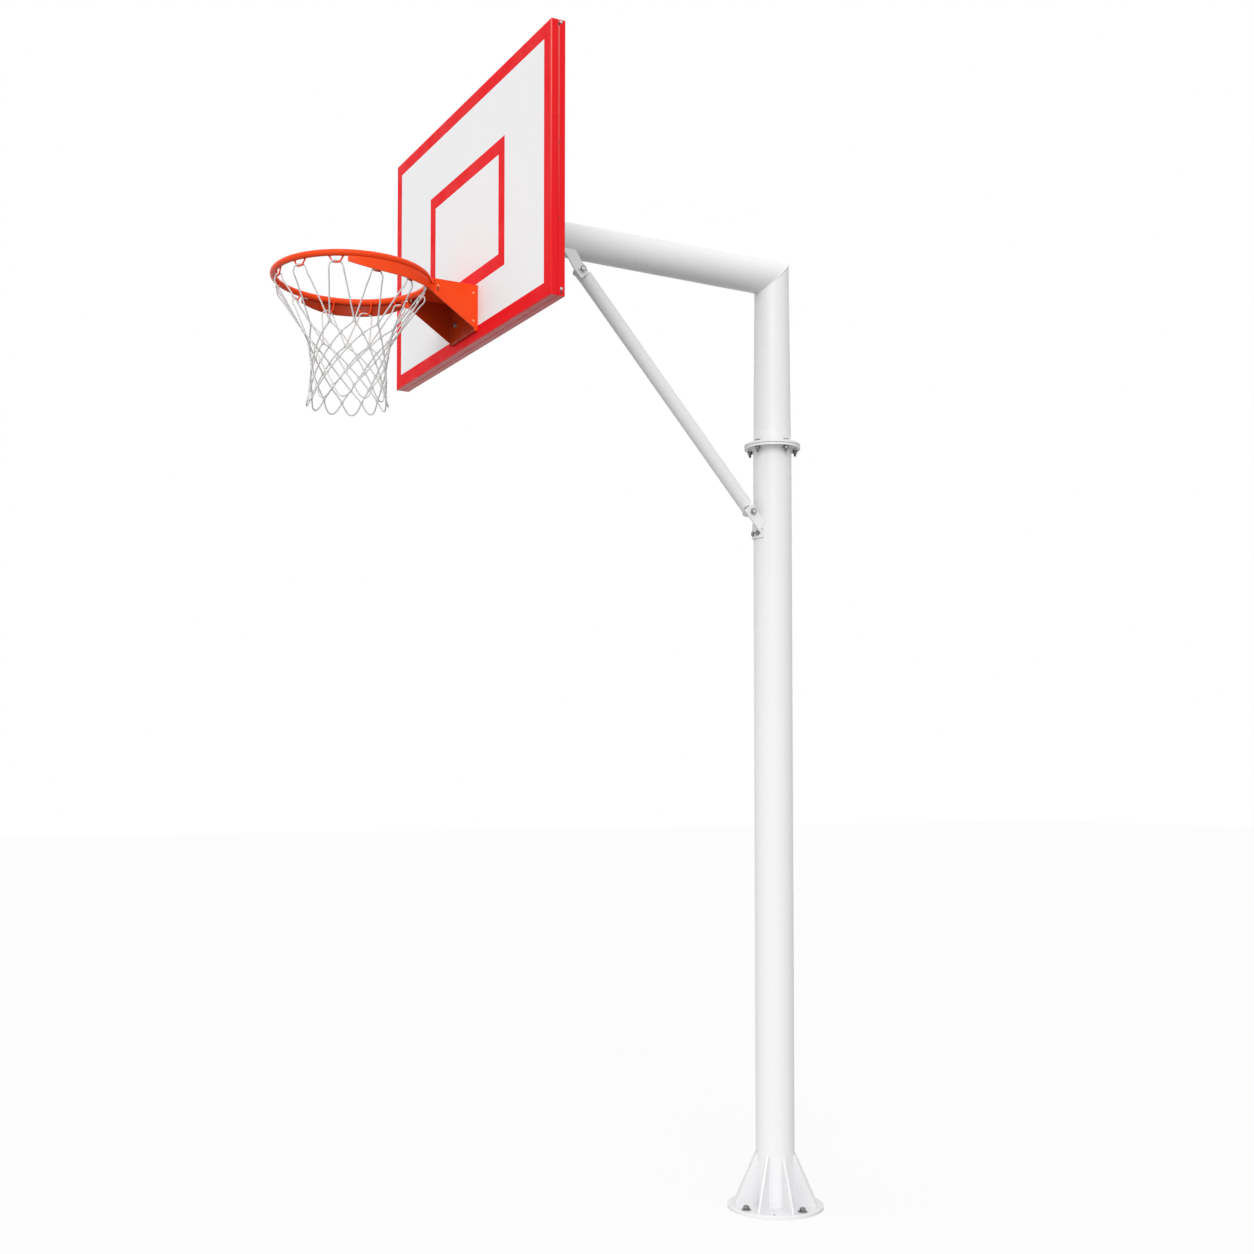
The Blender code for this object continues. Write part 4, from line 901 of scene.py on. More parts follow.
def resampled(points, step, closed=False):
    """A smooth curve through the points, as points about one step apart."""
    count = len(points)
    spans = count if closed else count - 1
    result = []
    for i in range(spans):
        if closed:
            a, b, c, d = (points[(i + k) % count] for k in (-1, 0, 1, 2))
        else:
            a, b, c, d = (points[min(max(i + k, 0), count - 1)] for k in (-1, 0, 1, 2))
        steps = max(1, round((c - b).length / step))
        for j in range(steps):
            t = j / steps
            square = (2 * a - 5 * b + 4 * c - d) * t**2
            cube = (3 * b - a - 3 * c + d) * t**3
            result.append(0.5 * (2 * b + (c - a) * t + square + cube))
    if not closed:
        result.append(points[-1])
    return result


def section_axes(points, closed):
    """Two axes across the path at each point, turned as little as they can be."""
    count = len(points)
    tangents = []
    for i in range(count):
        before = points[i - 1] if closed or i else points[i]
        after = points[(i + 1) % count] if closed or i < count - 1 else points[i]
        tangents.append((after - before).normalized())
    first = tangents[0].orthogonal().normalized()
    across = [first]
    for previous, tangent in zip(tangents, tangents[1:]):
        turned = previous.rotation_difference(tangent) @ across[-1]
        across.append((turned - tangent * turned.dot(tangent)).normalized())
    if closed:
        last = tangents[-1].rotation_difference(tangents[0]) @ across[-1]
        error = math.atan2(tangents[0].dot(last.cross(first)), last.dot(first))
        across = [
            Matrix.Rotation(error * i / count, 3, tangent) @ axis
            for i, (axis, tangent) in enumerate(zip(across, tangents))
        ]
    return [(axis, tangent.cross(axis)) for axis, tangent in zip(across, tangents)]


def add_tube(shape, points, radius_at, sides=8, closed=False):
    """Sweeps a round section along a path. radius_at takes the distance along it and the turn round it."""
    uv = shape.loops.layers.uv.verify()
    distance = 0.0
    rings = []
    places = []
    for i, (point, (x_axis, y_axis)) in enumerate(zip(points, section_axes(points, closed))):
        if i:
            distance += (point - points[i - 1]).length
        ring = []
        for turn in turns(sides):
            outward = math.cos(turn) * x_axis + math.sin(turn) * y_axis
            ring.append(shape.verts.new(point + radius_at(distance, turn) * outward))
        rings.append(ring)
        places.append(distance)
    pairs = list(range(len(rings) - 1))
    if closed:
        pairs.append(len(rings) - 1)
        places.append(distance + (points[0] - points[-1]).length)
    for i in pairs:
        lower, upper = rings[i], rings[(i + 1) % len(rings)]
        for j in range(sides):
            k = (j + 1) % sides
            face = shape.faces.new((lower[j], lower[k], upper[k], upper[j]))
            corners = ((j, i), (j + 1, i), (j + 1, i + 1), (j, i + 1))
            for loop, (column, row) in zip(face.loops, corners):
                at = places[row] if row < len(places) else places[-1]
                loop[uv].uv = (column / sides, at)
    if not closed:
        shape.faces.new(list(reversed(rings[0])))
        shape.faces.new(rings[-1])


def even(radius):
    """A round bar's radius, the same all along it."""
    return lambda distance, turn: radius


def bead_profile(radius, pitch):
    """A weld bead's radius along its length: overlapping ripples."""

    def radius_at(distance, turn):
        return radius * (BEAD_VALLEY + BEAD_RIPPLE * abs(math.sin(math.pi * distance / pitch)))

    return radius_at


def add_bead(shape, points, radius, closed=False):
    """A rippled weld bead along a smooth curve through the points."""
    pitch = bpy.context.scene.goal_welds.ripple_pitch
    fine = resampled(points, pitch / 3, closed)
    add_tube(shape, fine, bead_profile(radius, pitch), 8, closed)


def add_upright_bead(shape, x, y, ends, radius):
    """A straight weld bead between two heights."""
    add_bead(shape, [Vector((x, y, height)) for height in ends], radius)


def ring_points(radius, height, count=RING_STEPS, centre=Vector()):
    """Points round a level ring."""
    return [centre + polar(turn, radius, height) for turn in turns(count)]


class GOAL_OT_finishes(Operator):
    """Makes the paint, zinc and cord, and puts them on the steel frame's own nodes"""

    bl_idname = "goal.finishes"
    bl_label = "Paint the steel"

    def execute(self, context):
        self.make_finishes(context.scene.goal_paint)
        looks = paint_slots()
        looks["board_panel"] = "board_face"
        looks["board_frame"] = "frame_paint"
        looks.update({name: "bracket_paint" for name in NODES if name.startswith("bracket_")})
        for name, obj in NODES.items():
            obj.data.materials.clear()
            obj.data.materials.append(bpy.data.materials[looks[name]])
            if name == "board_panel":
                split_finish(obj)
            soften(obj, FASTENER_EDGE if looks[name] == "zinc_plate" else STEEL_EDGE)
        return {"FINISHED"}

    def make_finishes(self, paint):
        """Every material of the goal, over the effects that they share."""
        make_paint_film()
        make_yard_dust()
        make_zinc_grain()
        make_fold_highlight()
        make_painted(
            "pole_paint", paint.pole, gloss=0.30, patchiness=0.010, dust=0.012, peel=0.000004, specular=0.35
        )
        make_painted(
            "pale_spot", PALE_SPOT, gloss=0.40, patchiness=0.20, dust=0.05, peel=0.00003, specular=0.30
        )
        make_edge_paint("edge_paint", paint, fold_depth=0.0, fold_width=0.0045, flange=False)
        make_edge_paint("frame_paint", paint, fold_depth=0.0245, fold_width=0.0040, flange=True)
        make_rim_paint("rim_paint", paint.rim, painted_inside_shade=False)
        # The bracket's orange, with painted shade on its inner faces.
        make_rim_paint("bracket_paint", paint.rim, painted_inside_shade=True)
        make_board_face(paint)
        make_zinc("zinc_plate", paint.zinc)
        # Lighter zinc for the painted highlight on the tops.
        make_zinc("highlight_zinc", paint.highlight_zinc)
        make_cord_material(paint)
        # Painted shade in the vent, the board's edge cuts, the slot and the flange joint.
        make_recess("vent_shadow", deep=(0.03, 0.03, 0.03), shallow=(0.06, 0.055, 0.05))
        make_recess("slot_shadow", deep=(0.22, 0.025, 0.008), shallow=(0.30, 0.040, 0.012))
        make_recess("joint_shade", deep=(0.10, 0.10, 0.10), shallow=(0.22, 0.22, 0.21))


class GOAL_OT_pole_welds(Operator):
    """Adds the weld beads of the base, the flanges, the elbow and the arm's end"""

    bl_idname = "goal.pole_welds"
    bl_label = "Weld the pole"

    def execute(self, context):
        bead = context.scene.goal_welds.bead_radius
        inset = bead / 3
        lower = FLANGE_JOINT_HEIGHT - FLANGE_THICKNESS
        upper = FLANGE_JOINT_HEIGHT + FLANGE_THICKNESS
        shape = bmesh.new()
        for radius, height in (
            (POST_RADIUS, BASE_THICKNESS + inset),
            (POST_RADIUS, lower - inset),
            (NECK_FOOT_RADIUS, upper + inset),
        ):
            add_bead(shape, ring_points(radius + inset, height), bead, True)
        add_bead(shape, self.elbow_points(), bead * ELBOW_BEAD, True)
        arm_end = ring_points(ARM_END_RADIUS + inset, 0.0)
        arm_end = [Vector((p.x, END_PLATE_BACK + inset, ARM_HEIGHT + p.y)) for p in arm_end]
        add_bead(shape, arm_end, bead, True)
        finish_piece("pole_weld_beads", shape, "pole_paint")
        self.weld_gussets(bead * GUSSET_BEAD)
        return {"FINISHED"}

    def elbow_points(self):
        """The slanting seam between the tapered upright and the tapered arm."""
        points = []
        for turn in turns(RING_STEPS):
            radius = NECK_ELBOW_RADIUS / (1 - ELBOW_TAPER * math.cos(turn))
            along = radius * math.cos(turn)
            points.append(Vector((radius * math.sin(turn), along, ARM_HEIGHT + along)))
        return points

    def weld_gussets(self, bead):
        """The beads on both sides of every gusset, up the post and along the base plate."""
        shape = bmesh.new()
        for turn in turns(GUSSET_COUNT):
            outward = polar(GUSSET_TURN + turn, 1.0)
            sideways = Vector((0, 0, 1)).cross(outward)
            for side in (-1, 1):
                offset = side * (GUSSET_THICKNESS / 2 + bead / 3) * sideways
                foot = outward * (POST_RADIUS + bead / 3) + offset
                low = foot + Vector((0, 0, BASE_THICKNESS + bead))
                high = foot + Vector((0, 0, BASE_THICKNESS + GUSSET_HEIGHT - bead))
                add_bead(shape, [low, high], bead)
                near = foot + Vector((0, 0, BASE_THICKNESS + bead / 3))
                far = outward * (GUSSET_REACH - bead) + offset + Vector((0, 0, BASE_THICKNESS + bead / 3))
                add_bead(shape, [near, far], bead)
        finish_piece("gusset_weld_beads", shape, "pole_paint")


def thread_radius(diameter, pitch):
    """A screw thread's outline, as a radius that climbs once round in a pitch."""
    depth = THREAD_DEPTH * pitch

    def radius_at(distance, turn):
        phase = (distance / pitch - turn / (2 * math.pi)) % 1.0
        return diameter / 2 - depth * (1 - abs(2 * phase - 1)) * THREAD_CUT

    return radius_at


def add_thread(shape, start, end, diameter, pitch):
    """A threaded rod from start to end."""
    length = (end - start).length
    steps = max(2, round(length / (pitch / 6)))
    points = [start.lerp(end, i / steps) for i in range(steps + 1)]
    add_tube(shape, points, thread_radius(diameter, pitch), 20)


def hex_side(turn, flats):
    """How far a hexagon's side lies from its middle in this direction."""
    return flats / 2 / math.cos(turn % (math.pi / 3) - math.pi / 6)


def add_turned(shape, matrix, levels, sides=36, bright_top=False):
    """Skins rings stacked up an axis; a level is a height with a radius or with a rule for the radius."""
    rings = []
    for height, radius in levels:
        ring = []
        for turn in turns(sides):
            reach = radius(turn) if callable(radius) else radius
            point = Vector((reach * math.cos(turn), reach * math.sin(turn), height))
            ring.append(shape.verts.new(matrix @ point))
        rings.append(ring)
    for lower, upper in zip(rings, rings[1:]):
        for i in range(sides):
            j = (i + 1) % sides
            shape.faces.new((lower[i], lower[j], upper[j], upper[i]))
    shape.faces.new(list(reversed(rings[0])))
    shape.faces.new(rings[-1])
    # The top band and both caps take the lighter zinc: a painted highlight on the top.
    if bright_top:
        for face in shape.faces[-1 - sides:]:
            face.material_index = 1


def slot_levels(half_width, half_height):
    """A long hole's outline, seen as a shallow dark well; its long way is the local X."""

    def outline(shrink):
        def reach(turn):
            c, s = math.cos(turn) / (half_height - shrink), math.sin(turn) / (half_width - shrink)
            return (abs(c) ** 3 + abs(s) ** 3) ** (-1 / 3)

        return reach

    return [(0, outline(0.0)), (0.0006, outline(0.0)), (0.0008, outline(0.0004))]


def washer_levels(radius, thickness):
    """A washer's outline, with both its edges cut."""
    edge = WASHER_EDGE * thickness
    return [(0, radius - edge), (edge, radius), (thickness - edge, radius), (thickness, radius - edge)]


def hex_levels(foot, height, diameter, both_ends=False):
    """A hexagon whose corners are cut by a 30 degree cone at the top, and at the foot too on a nut."""
    flats = HEX_FLATS * diameter
    top = foot + height

    def cut(level):
        cone = CONE_RADIUS * flats + (top - level) * math.sqrt(3)
        lower = CONE_RADIUS * flats + (level - foot) * math.sqrt(3) if both_ends else cone + flats
        return lambda turn: min(hex_side(turn, flats), cone, lower)

    rising = [foot + share * diameter for share in (CUT_STEPS if both_ends else CUT_STEPS[:1])]
    falling = [top - share * diameter for share in reversed(CUT_STEPS)]
    return [(level, cut(level)) for level in rising + falling]


def add_bolt(shape, matrix, diameter, length, thread, washer=True):
    """A bolt with its washer on z = 0: a chamfered head above, and a shank with a threaded end below."""
    seat = WASHER_HEIGHT * diameter if washer else 0.0
    if washer:
        add_turned(shape, matrix, washer_levels(WASHER_RADIUS * diameter, seat), 36, True)
    head = hex_levels(seat, HEAD_HEIGHT * diameter, diameter)
    top = seat + HEAD_HEIGHT * diameter
    head += [(top - depth, radius * HEX_FLATS * diameter) for depth, radius in HEAD_DISH]
    add_turned(shape, matrix, head, 36, washer)
    shank = SHANK_RADIUS * diameter
    add_turned(shape, matrix, [(thread - length, shank), (seat / 2, shank)], 20)
    low, high = matrix @ Vector((0, 0, -length)), matrix @ Vector((0, 0, thread - length))
    add_thread(shape, low, high, diameter, THREAD_PITCH * diameter)


def add_nut(shape, matrix, diameter, washer_radius, washer_height):
    """A nut on its washer, standing on z = 0."""
    add_turned(shape, matrix, washer_levels(washer_radius, washer_height))
    add_turned(shape, matrix, hex_levels(washer_height, NUT_HEIGHT * diameter, diameter, True))


def finish_hex(shape, node):
    """Makes a riding piece of a bolt or a nut, in place of the frame's plain one."""
    name = node.replace("bolt", "hex_bolt").replace("nut", "hex_nut")
    finish_piece(name, shape, "zinc_plate", (node,))


def bolt_through(label, head, far, size, grip, stand_out, run):
    """Makes a bolt, and its nut where the grip ends; the word bolt or nut goes into the label's gap.

    The bolt stands out past its nut, and its thread is longer than the nut and washer by the run.
    """
    nut_height = (WASHER_HEIGHT + NUT_HEIGHT) * size
    shape = bmesh.new()
    add_bolt(shape, head, size, grip + nut_height + stand_out, nut_height + run)
    finish_hex(shape, label.format("bolt"))
    shape = bmesh.new()
    add_nut(shape, far, size, WASHER_RADIUS * size, WASHER_HEIGHT * size)
    finish_hex(shape, label.format("nut"))


def standing_at(angle, radius, height):
    """A placing matrix whose +X points outwards at this angle."""
    return Matrix.Translation(polar(angle, radius, height)) @ Matrix.Rotation(angle - math.pi / 2, 4, "Z")


def facing(point, side):
    """A placing matrix whose +Z points to the goal's side, towards -X or +X."""
    return Matrix.Translation(point) @ Matrix.Rotation(side * math.pi / 2, 4, "Y")


class GOAL_OT_flange_bolts(Operator):
    """Makes the flange's bolts and nuts, with chamfers and threads, and a dark band of painted shade at the
    joint
    """

    bl_idname = "goal.flange_bolts"
    bl_label = "Bolt the flange"

    def execute(self, context):
        # A dark ring at the joint between the flanges: painted shade.
        seam = bmesh.new()
        rise, inner = SEAM_HALF_HEIGHT, SEAM_RADIUS - SEAM_DEPTH
        levels = [(-rise, inner), (-rise / 2, SEAM_RADIUS), (rise / 2, SEAM_RADIUS), (rise, inner)]
        add_turned(seam, Matrix.Translation((0, 0, FLANGE_JOINT_HEIGHT)), levels, 96)
        finish_piece("flange_seam", seam, "joint_shade")
        upper = FLANGE_JOINT_HEIGHT + FLANGE_THICKNESS + SEAT
        lower = FLANGE_JOINT_HEIGHT - FLANGE_THICKNESS - SEAT
        for i, turn in enumerate(turns(FLANGE_BOLT_COUNT), 1):
            angle = FLANGE_BOLT_TURN + turn
            head = standing_at(angle, FLANGE_BOLT_CIRCLE_RADIUS, upper)
            far = standing_at(angle, FLANGE_BOLT_CIRCLE_RADIUS, lower) @ Matrix.Rotation(math.pi, 4, "X")
            size, grip = FLANGE_BOLT_DIAMETER, upper - lower
            bolt_through(f"flange_{{}}_{i}", head, far, size, grip, FLANGE_BOLT_STAND_OUT, FLANGE_BOLT_RUN)
        return {"FINISHED"}


class GOAL_OT_stay_bolts(Operator):
    """Makes the bolts through the stay's eyes, their nuts, and the two bolts of the lower lug"""

    bl_idname = "goal.stay_bolts"
    bl_label = "Bolt the stay"

    def execute(self, context):
        size = STAY_BOLT_DIAMETER
        for name, end in (("upper", STAY_TOP), ("lower", STAY_FOOT)):
            head = facing(end + Vector((LUG_OUTER_FACE + SEAT, 0, 0)), 1)
            far = facing(end - Vector((STAY_NUT_FACE, 0, 0)), -1)
            grip = LUG_OUTER_FACE + STAY_NUT_FACE
            bolt_through(f"stay_{name}_{{}}", head, far, size, grip, size / 3, size / 2)
        for i, side in enumerate((-1, 1), 1):
            node = f"lug_bolt_{i}"
            low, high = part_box(node)
            seat = standing_at(side * LUG_BOLT_TURN, LUG_PAD_FACE, (low.z + high.z) / 2)
            seat = seat @ Matrix.Rotation(math.pi / 2, 4, "Y")
            shape = bmesh.new()
            add_bolt(shape, seat, LUG_BOLT_DIAMETER, LUG_BOLT_LENGTH, LUG_BOLT_THREAD, washer=False)
            finish_hex(shape, node)
        return {"FINISHED"}


class GOAL_OT_board_bolts(Operator):
    """Makes the bolts of the arm's end plate and of the rim's bracket"""

    bl_idname = "goal.board_bolts"
    bl_label = "Bolt the board"

    def execute(self, context):
        for name, size, side, washer in BOARD_BOLTS:
            for i in range(1, 5):
                node = f"{name}_bolt_{i}"
                low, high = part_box(node)
                cap = (WASHER_HEIGHT + HEAD_HEIGHT) * size
                y = high.y - cap if side > 0 else low.y + cap
                at = Vector(((low.x + high.x) / 2, y, (low.z + high.z) / 2))
                matrix = Matrix.Translation(at) @ Matrix.Rotation(-side * math.pi / 2, 4, "X")
                shape = bmesh.new()
                add_bolt(shape, matrix, size, BOARD_BOLT_LENGTH, BOARD_BOLT_THREAD, washer)
                finish_hex(shape, node)
        return {"FINISHED"}


class GOAL_OT_anchors(Operator):
    """Cuts threads on the anchor studs, makes their nuts, and adds the base plate's vent"""

    bl_idname = "goal.anchors"
    bl_label = "Thread the anchors"

    def execute(self, context):
        for i, turn in enumerate(turns(ANCHOR_COUNT), 1):
            angle = ANCHOR_TURN + turn
            shape = bmesh.new()
            foot = polar(angle, ANCHOR_CIRCLE_RADIUS, ANCHOR_FOOT)
            head = foot + Vector((0, 0, BASE_THICKNESS + ANCHOR_STAND_OUT - ANCHOR_FOOT))
            add_thread(shape, foot, head, ANCHOR_THREAD_DIAMETER, ANCHOR_PITCH)
            finish_piece(f"anchor_thread_{i}", shape, "zinc_plate", (f"anchor_stud_{i}",))
            shape = bmesh.new()
            seat = standing_at(angle, ANCHOR_CIRCLE_RADIUS, BASE_THICKNESS + SEAT)
            add_nut(shape, seat, ANCHOR_DIAMETER, ANCHOR_WASHER_RADIUS, ANCHOR_WASHER_HEIGHT)
            finish_hex(shape, f"anchor_nut_{i}")
        shape = bmesh.new()
        bmesh.ops.create_cone(
            shape,
            cap_ends=True,
            segments=24,
            radius1=VENT_FOOT_RADIUS,
            radius2=VENT_TOP_RADIUS,
            depth=VENT_HEIGHT,
            matrix=Matrix.Translation(polar(VENT_TURN, VENT_RADIUS_OUT, BASE_THICKNESS)),
        )
        finish_piece("base_vent", shape, "vent_shadow")
        return {"FINISHED"}


def hook_drop(index):
    """How far a hook's foot hangs below the bar's middle; the hooks behind the wings are longer."""
    return HOOK_DROP + LONGER_BY * (index in BEHIND_WING)


def hook_points(angle, drop):
    """A hook's route: a shallow trough that hangs from the rim's bar, with soft corners."""
    half, foot_half = HOOK_WIDTH / 2, HOOK_FOOT_WIDTH / 2
    rise = HOOK_DROP / 6
    right = [(0.5 * foot_half, 0.0), (foot_half, 0.4 * rise), (foot_half + 0.7 * rise, 1.3 * rise)]
    right += [(half - rise / 3, 3.4 * rise), (half, drop - HOOK_TOP_GAP)]
    flat = [(-across, height) for across, height in reversed(right)] + right
    centre = Vector((0, RIM_CENTRE.y, RIM_CENTRE.z - drop))
    return [centre + polar(angle + across / HOOK_RADIUS, HOOK_RADIUS, height) for across, height in flat]


def round_rim(angle, radius, height):
    """A point at this angle and distance from the rim's upright axis."""
    return Vector((0, RIM_CENTRE.y, 0)) + polar(angle, radius, height)


def rim_arc(start, span, radius, height, steps=24):
    """Points along a level arc round the rim's axis."""
    return [round_rim(start + span * i / steps, radius, height) for i in range(steps + 1)]


def add_dab(shape, matrix, sizes, rounds=3):
    """A lump of weld with these half sizes along the matrix's axes."""
    sized = matrix @ Matrix.Diagonal((*sizes, 1.0))
    bmesh.ops.create_icosphere(shape, subdivisions=rounds, radius=1.0, matrix=sized)


class GOAL_OT_rim(Operator):
    """Bends the rim's bar to a ring, with its net hooks welded on"""

    bl_idname = "goal.rim"
    bl_label = "Make the rim"

    def execute(self, context):
        shape = bmesh.new()
        ring = ring_points(RIM_RADIUS, 0.0, RIM_STEPS, RIM_CENTRE)
        add_tube(shape, ring, even(BAR_RADIUS), 20, True)
        for i, angle in enumerate(turns(HOOK_COUNT)):
            points = hook_points(angle, hook_drop(i))
            add_tube(shape, resampled(points, HOOK_STEP), even(HOOK_BAR_RADIUS), 10)
        finish_piece("rim_bar", shape, "rim_paint", ("rim_ring",))
        shape = bmesh.new()
        for angle in turns(HOOK_COUNT):
            for side in (-1, 1):
                turn = angle + side * HOOK_WIDTH / 2 / HOOK_RADIUS
                at = round_rim(turn, HOOK_RADIUS + HOOK_WELD_OUT, RIM_CENTRE.z - HOOK_WELD_DROP)
                add_dab(shape, Matrix.Translation(at) @ Matrix.Rotation(turn, 4, "Z"), HOOK_WELD_SIZE, 2)
        finish_piece("hook_weld_beads", shape, "rim_paint")
        return {"FINISHED"}


class GOAL_OT_bracket(Operator):
    """Adds the bracket's weld beads, plug welds and slots"""

    bl_idname = "goal.bracket"
    bl_label = "Weld the bracket"

    def execute(self, context):
        beads = bmesh.new()
        plugs = bmesh.new()
        slots = bmesh.new()
        for side in (-1, 1):
            self.weld_to_back_plate(beads, side)
            self.weld_to_bar(beads, side)
            self.weld_foot(beads, side)
            self.add_plugs(plugs, slots, side)
        spread = math.asin((BRACKET_HALF_WIDTH - FRONT_BEAD_INSET) / (RIM_RADIUS + BAR_RADIUS))
        front = rim_arc(math.pi - spread, 2 * spread, FRONT_BEAD_RADIUS, FRONT_BEAD_HEIGHT)
        add_bead(beads, front, EDGE_BEAD)
        finish_piece("bracket_weld_beads", beads, "bracket_paint")
        finish_piece("bracket_plug_welds", plugs, "pale_spot")
        finish_piece("bracket_slots", slots, "slot_shadow")
        return {"FINISHED"}

    def weld_to_back_plate(self, shape, side):
        """The beads up a side plate's outer and inner face, where it meets the back plate."""
        outer = side * BRACKET_HALF_WIDTH
        inner = outer - side * BRACKET_SHEET
        add_upright_bead(shape, outer, BACK_PLATE_FRONT + BRACKET_BEAD / 4, OUTER_BEAD_ENDS, OUTER_BEAD)
        add_upright_bead(shape, inner, BACK_PLATE_FRONT - BRACKET_BEAD / 3, INNER_BEAD_ENDS, BRACKET_BEAD)

    def weld_to_bar(self, shape, side):
        """The bead along a wing under the rim's bar, and the thick one at the side plate's upper corner."""
        wing = rim_arc(WING_BEAD_START, WING_BEAD_SPAN, WING_RADIUS - WING_BEAD_INSET, WING_BEAD_HEIGHT)
        corner = [round_rim(math.radians(turn), radius, height) for turn, radius, height in CORNER_WELD]
        for points, bead in ((wing, EDGE_BEAD), (corner, CORNER_BEAD)):
            add_bead(shape, [Vector((side * point.x, point.y, point.z)) for point in points], bead)

    def weld_foot(self, shape, side):
        """The short, thick bead at a side plate's lower corner, against the back plate."""
        foot = Vector((side * (BRACKET_HALF_WIDTH - SKIN), BACK_PLATE_FRONT - FOOT_BEAD_OUT, BRACKET_FOOT))
        low, high = FOOT_BEAD_ENDS
        add_bead(shape, [foot - Vector((0, 0, low)), foot + Vector((0, 0, high))], FOOT_BEAD)

    def add_plugs(self, plugs, slots, side):
        """The plug welds near the back plate in a paler orange, and the slot with a paler dab of weld above
        it.
        """
        for height in PLUG_HEIGHTS:
            at = Vector((side * BRACKET_HALF_WIDTH, BACK_PLATE_FRONT - PLUG_INSET, height))
            add_dab(plugs, Matrix.Translation(at), PLUG_SIZE)
        at = Vector((side * (BRACKET_HALF_WIDTH - SKIN), *SLOT_PLACE))
        add_turned(slots, facing(at, side), slot_levels(*SLOT_HALF_SIZE), 32)
        add_dab(plugs, Matrix.Translation(at + SLOT_DAB_OFFSET), SLOT_DAB_SIZE)


class GOAL_OT_board(Operator):
    """Adds the rivets, relief cuts and drain holes of the board's edge, and its stiles' weld beads"""

    bl_idname = "goal.board"
    bl_label = "Rivet the board"

    def execute(self, context):
        rivets = bmesh.new()
        cuts = bmesh.new()
        welds = bmesh.new()
        for side in (-1, 1):
            face = side * BOARD_WIDTH / 2
            for y, z in RIVETS:
                add_turned(rivets, facing((face, y, z), side), RIVET_DOME, 24, True)
            for y, z, width, height in EDGE_CUTS:
                place = facing((face - side * CUT_INSET, y, z), side)
                add_turned(cuts, place, slot_levels(width, height), 28)
            for edge in STILE_EDGES:
                for foot in STILE_WELD_FEET:
                    ends = (foot, foot + STILE_WELD_LENGTH)
                    add_upright_bead(welds, side * edge, STILE_WELD_BACK, ends, STILE_BEAD)
        finish_piece("stile_weld_beads", welds, "frame_paint")
        finish_piece("board_edge_rivets", rivets, "zinc_plate")
        finish_piece("board_edge_cuts", cuts, "vent_shadow")
        return {"FINISHED"}


class GOAL_OT_stay(Operator):
    """Adds the weld beads at the stay's two ends"""

    bl_idname = "goal.stay"
    bl_label = "Weld the stay"

    def execute(self, context):
        shape = bmesh.new()
        radius = STAY_RADIUS - STAY_BEAD
        for end, outward in ((STAY_TOP, STAY_ALONG), (STAY_FOOT, -STAY_ALONG)):
            centre = end - STAY_END_GAP * outward + STAY_RISE * STAY_ACROSS
            points = [
                centre + radius * (math.cos(turn) * Vector((1, 0, 0)) + math.sin(turn) * STAY_ACROSS)
                for turn in turns(32)
            ]
            add_bead(shape, points, STAY_BEAD, True)
        finish_piece("stay_weld_beads", shape, "pole_paint")
        return {"FINISHED"}


def net_radius(drop):
    """The net's radius at this drop below the hooks."""
    spread = FOOT_FLARE * max(0.0, (drop - FOOT_FLARE_START) / FOOT_FLARE_RUN) ** 2
    return NECK_RADIUS + FLARE * math.exp((LOOP_LENGTH - drop) / FLARE_FALL) + spread


def net_rows():
    """(radius, height) of each row of knots, spaced so that each diamond's sides have the right length."""
    rows = []
    drop = LOOP_LENGTH
    half_angle = math.pi / HOOK_COUNT
    for _ in range(KNOT_ROWS):
        radius = net_radius(drop)
        rows.append((radius, HOOK_FOOT - drop))
        step = MESH_SIDE / 2
        for _ in range(SPACING_ROUNDS):
            below = net_radius(drop + step)
            across = (radius + below) * half_angle / 2
            step = math.sqrt(MESH_SIDE**2 - across**2 - (radius - below) ** 2)
        drop += step
    return rows


def in_net(angle, radius, height):
    """A point of the net, whose axis leans a little away from the board on its way down."""
    return Vector((0, RIM_CENTRE.y - NET_LEAN * (HOOK_FOOT - height), 0)) + polar(angle, radius, height)


def net_angle(row, column):
    """Where a column stands in this row of the twisted net; two columns make one mesh."""
    return column * math.pi / HOOK_COUNT + FIRST_TWIST + TWIST_PER_ROW * row


def knot_at(row, column, rows, set_out=0.0):
    """A knot's middle, or a point set out from it."""
    radius, height = rows[row]
    return in_net(net_angle(row, column), radius + set_out, height)


def hook_loop(index, rows, cord):
    """The cord from one knot up over a hook's foot and down to the next knot."""
    middle = 2 * math.pi * index / HOOK_COUNT
    lift = HOOK_BAR_RADIUS + cord / 2 + CORD_GAP
    foot = RIM_CENTRE.z - hook_drop(index)
    over = []
    for i in range(-4, 5):
        lean = WRAP_TURN * i / 4
        across = WRAP_WIDTH * i / 4
        radius = HOOK_RADIUS - lift * math.sin(lean)
        over.append(round_rim(middle + across / HOOK_RADIUS, radius, foot + lift * math.cos(lean)))
    legs = []
    for side in (-1, 1):
        knot = knot_at(0, 2 * index + side, rows)
        angle = middle + side * SHOULDER_WIDTH / HOOK_RADIUS
        shoulder = round_rim(angle, HOOK_RADIUS - side * lift, foot - SHOULDER_DROP)
        half, high, top = (shoulder.lerp(knot, share) for share in LEG_SHARES)
        legs.append([knot, half, high, top + Vector((0, 0, -LEG_SAG)), shoulder])
    return legs[0] + over + legs[1][::-1]


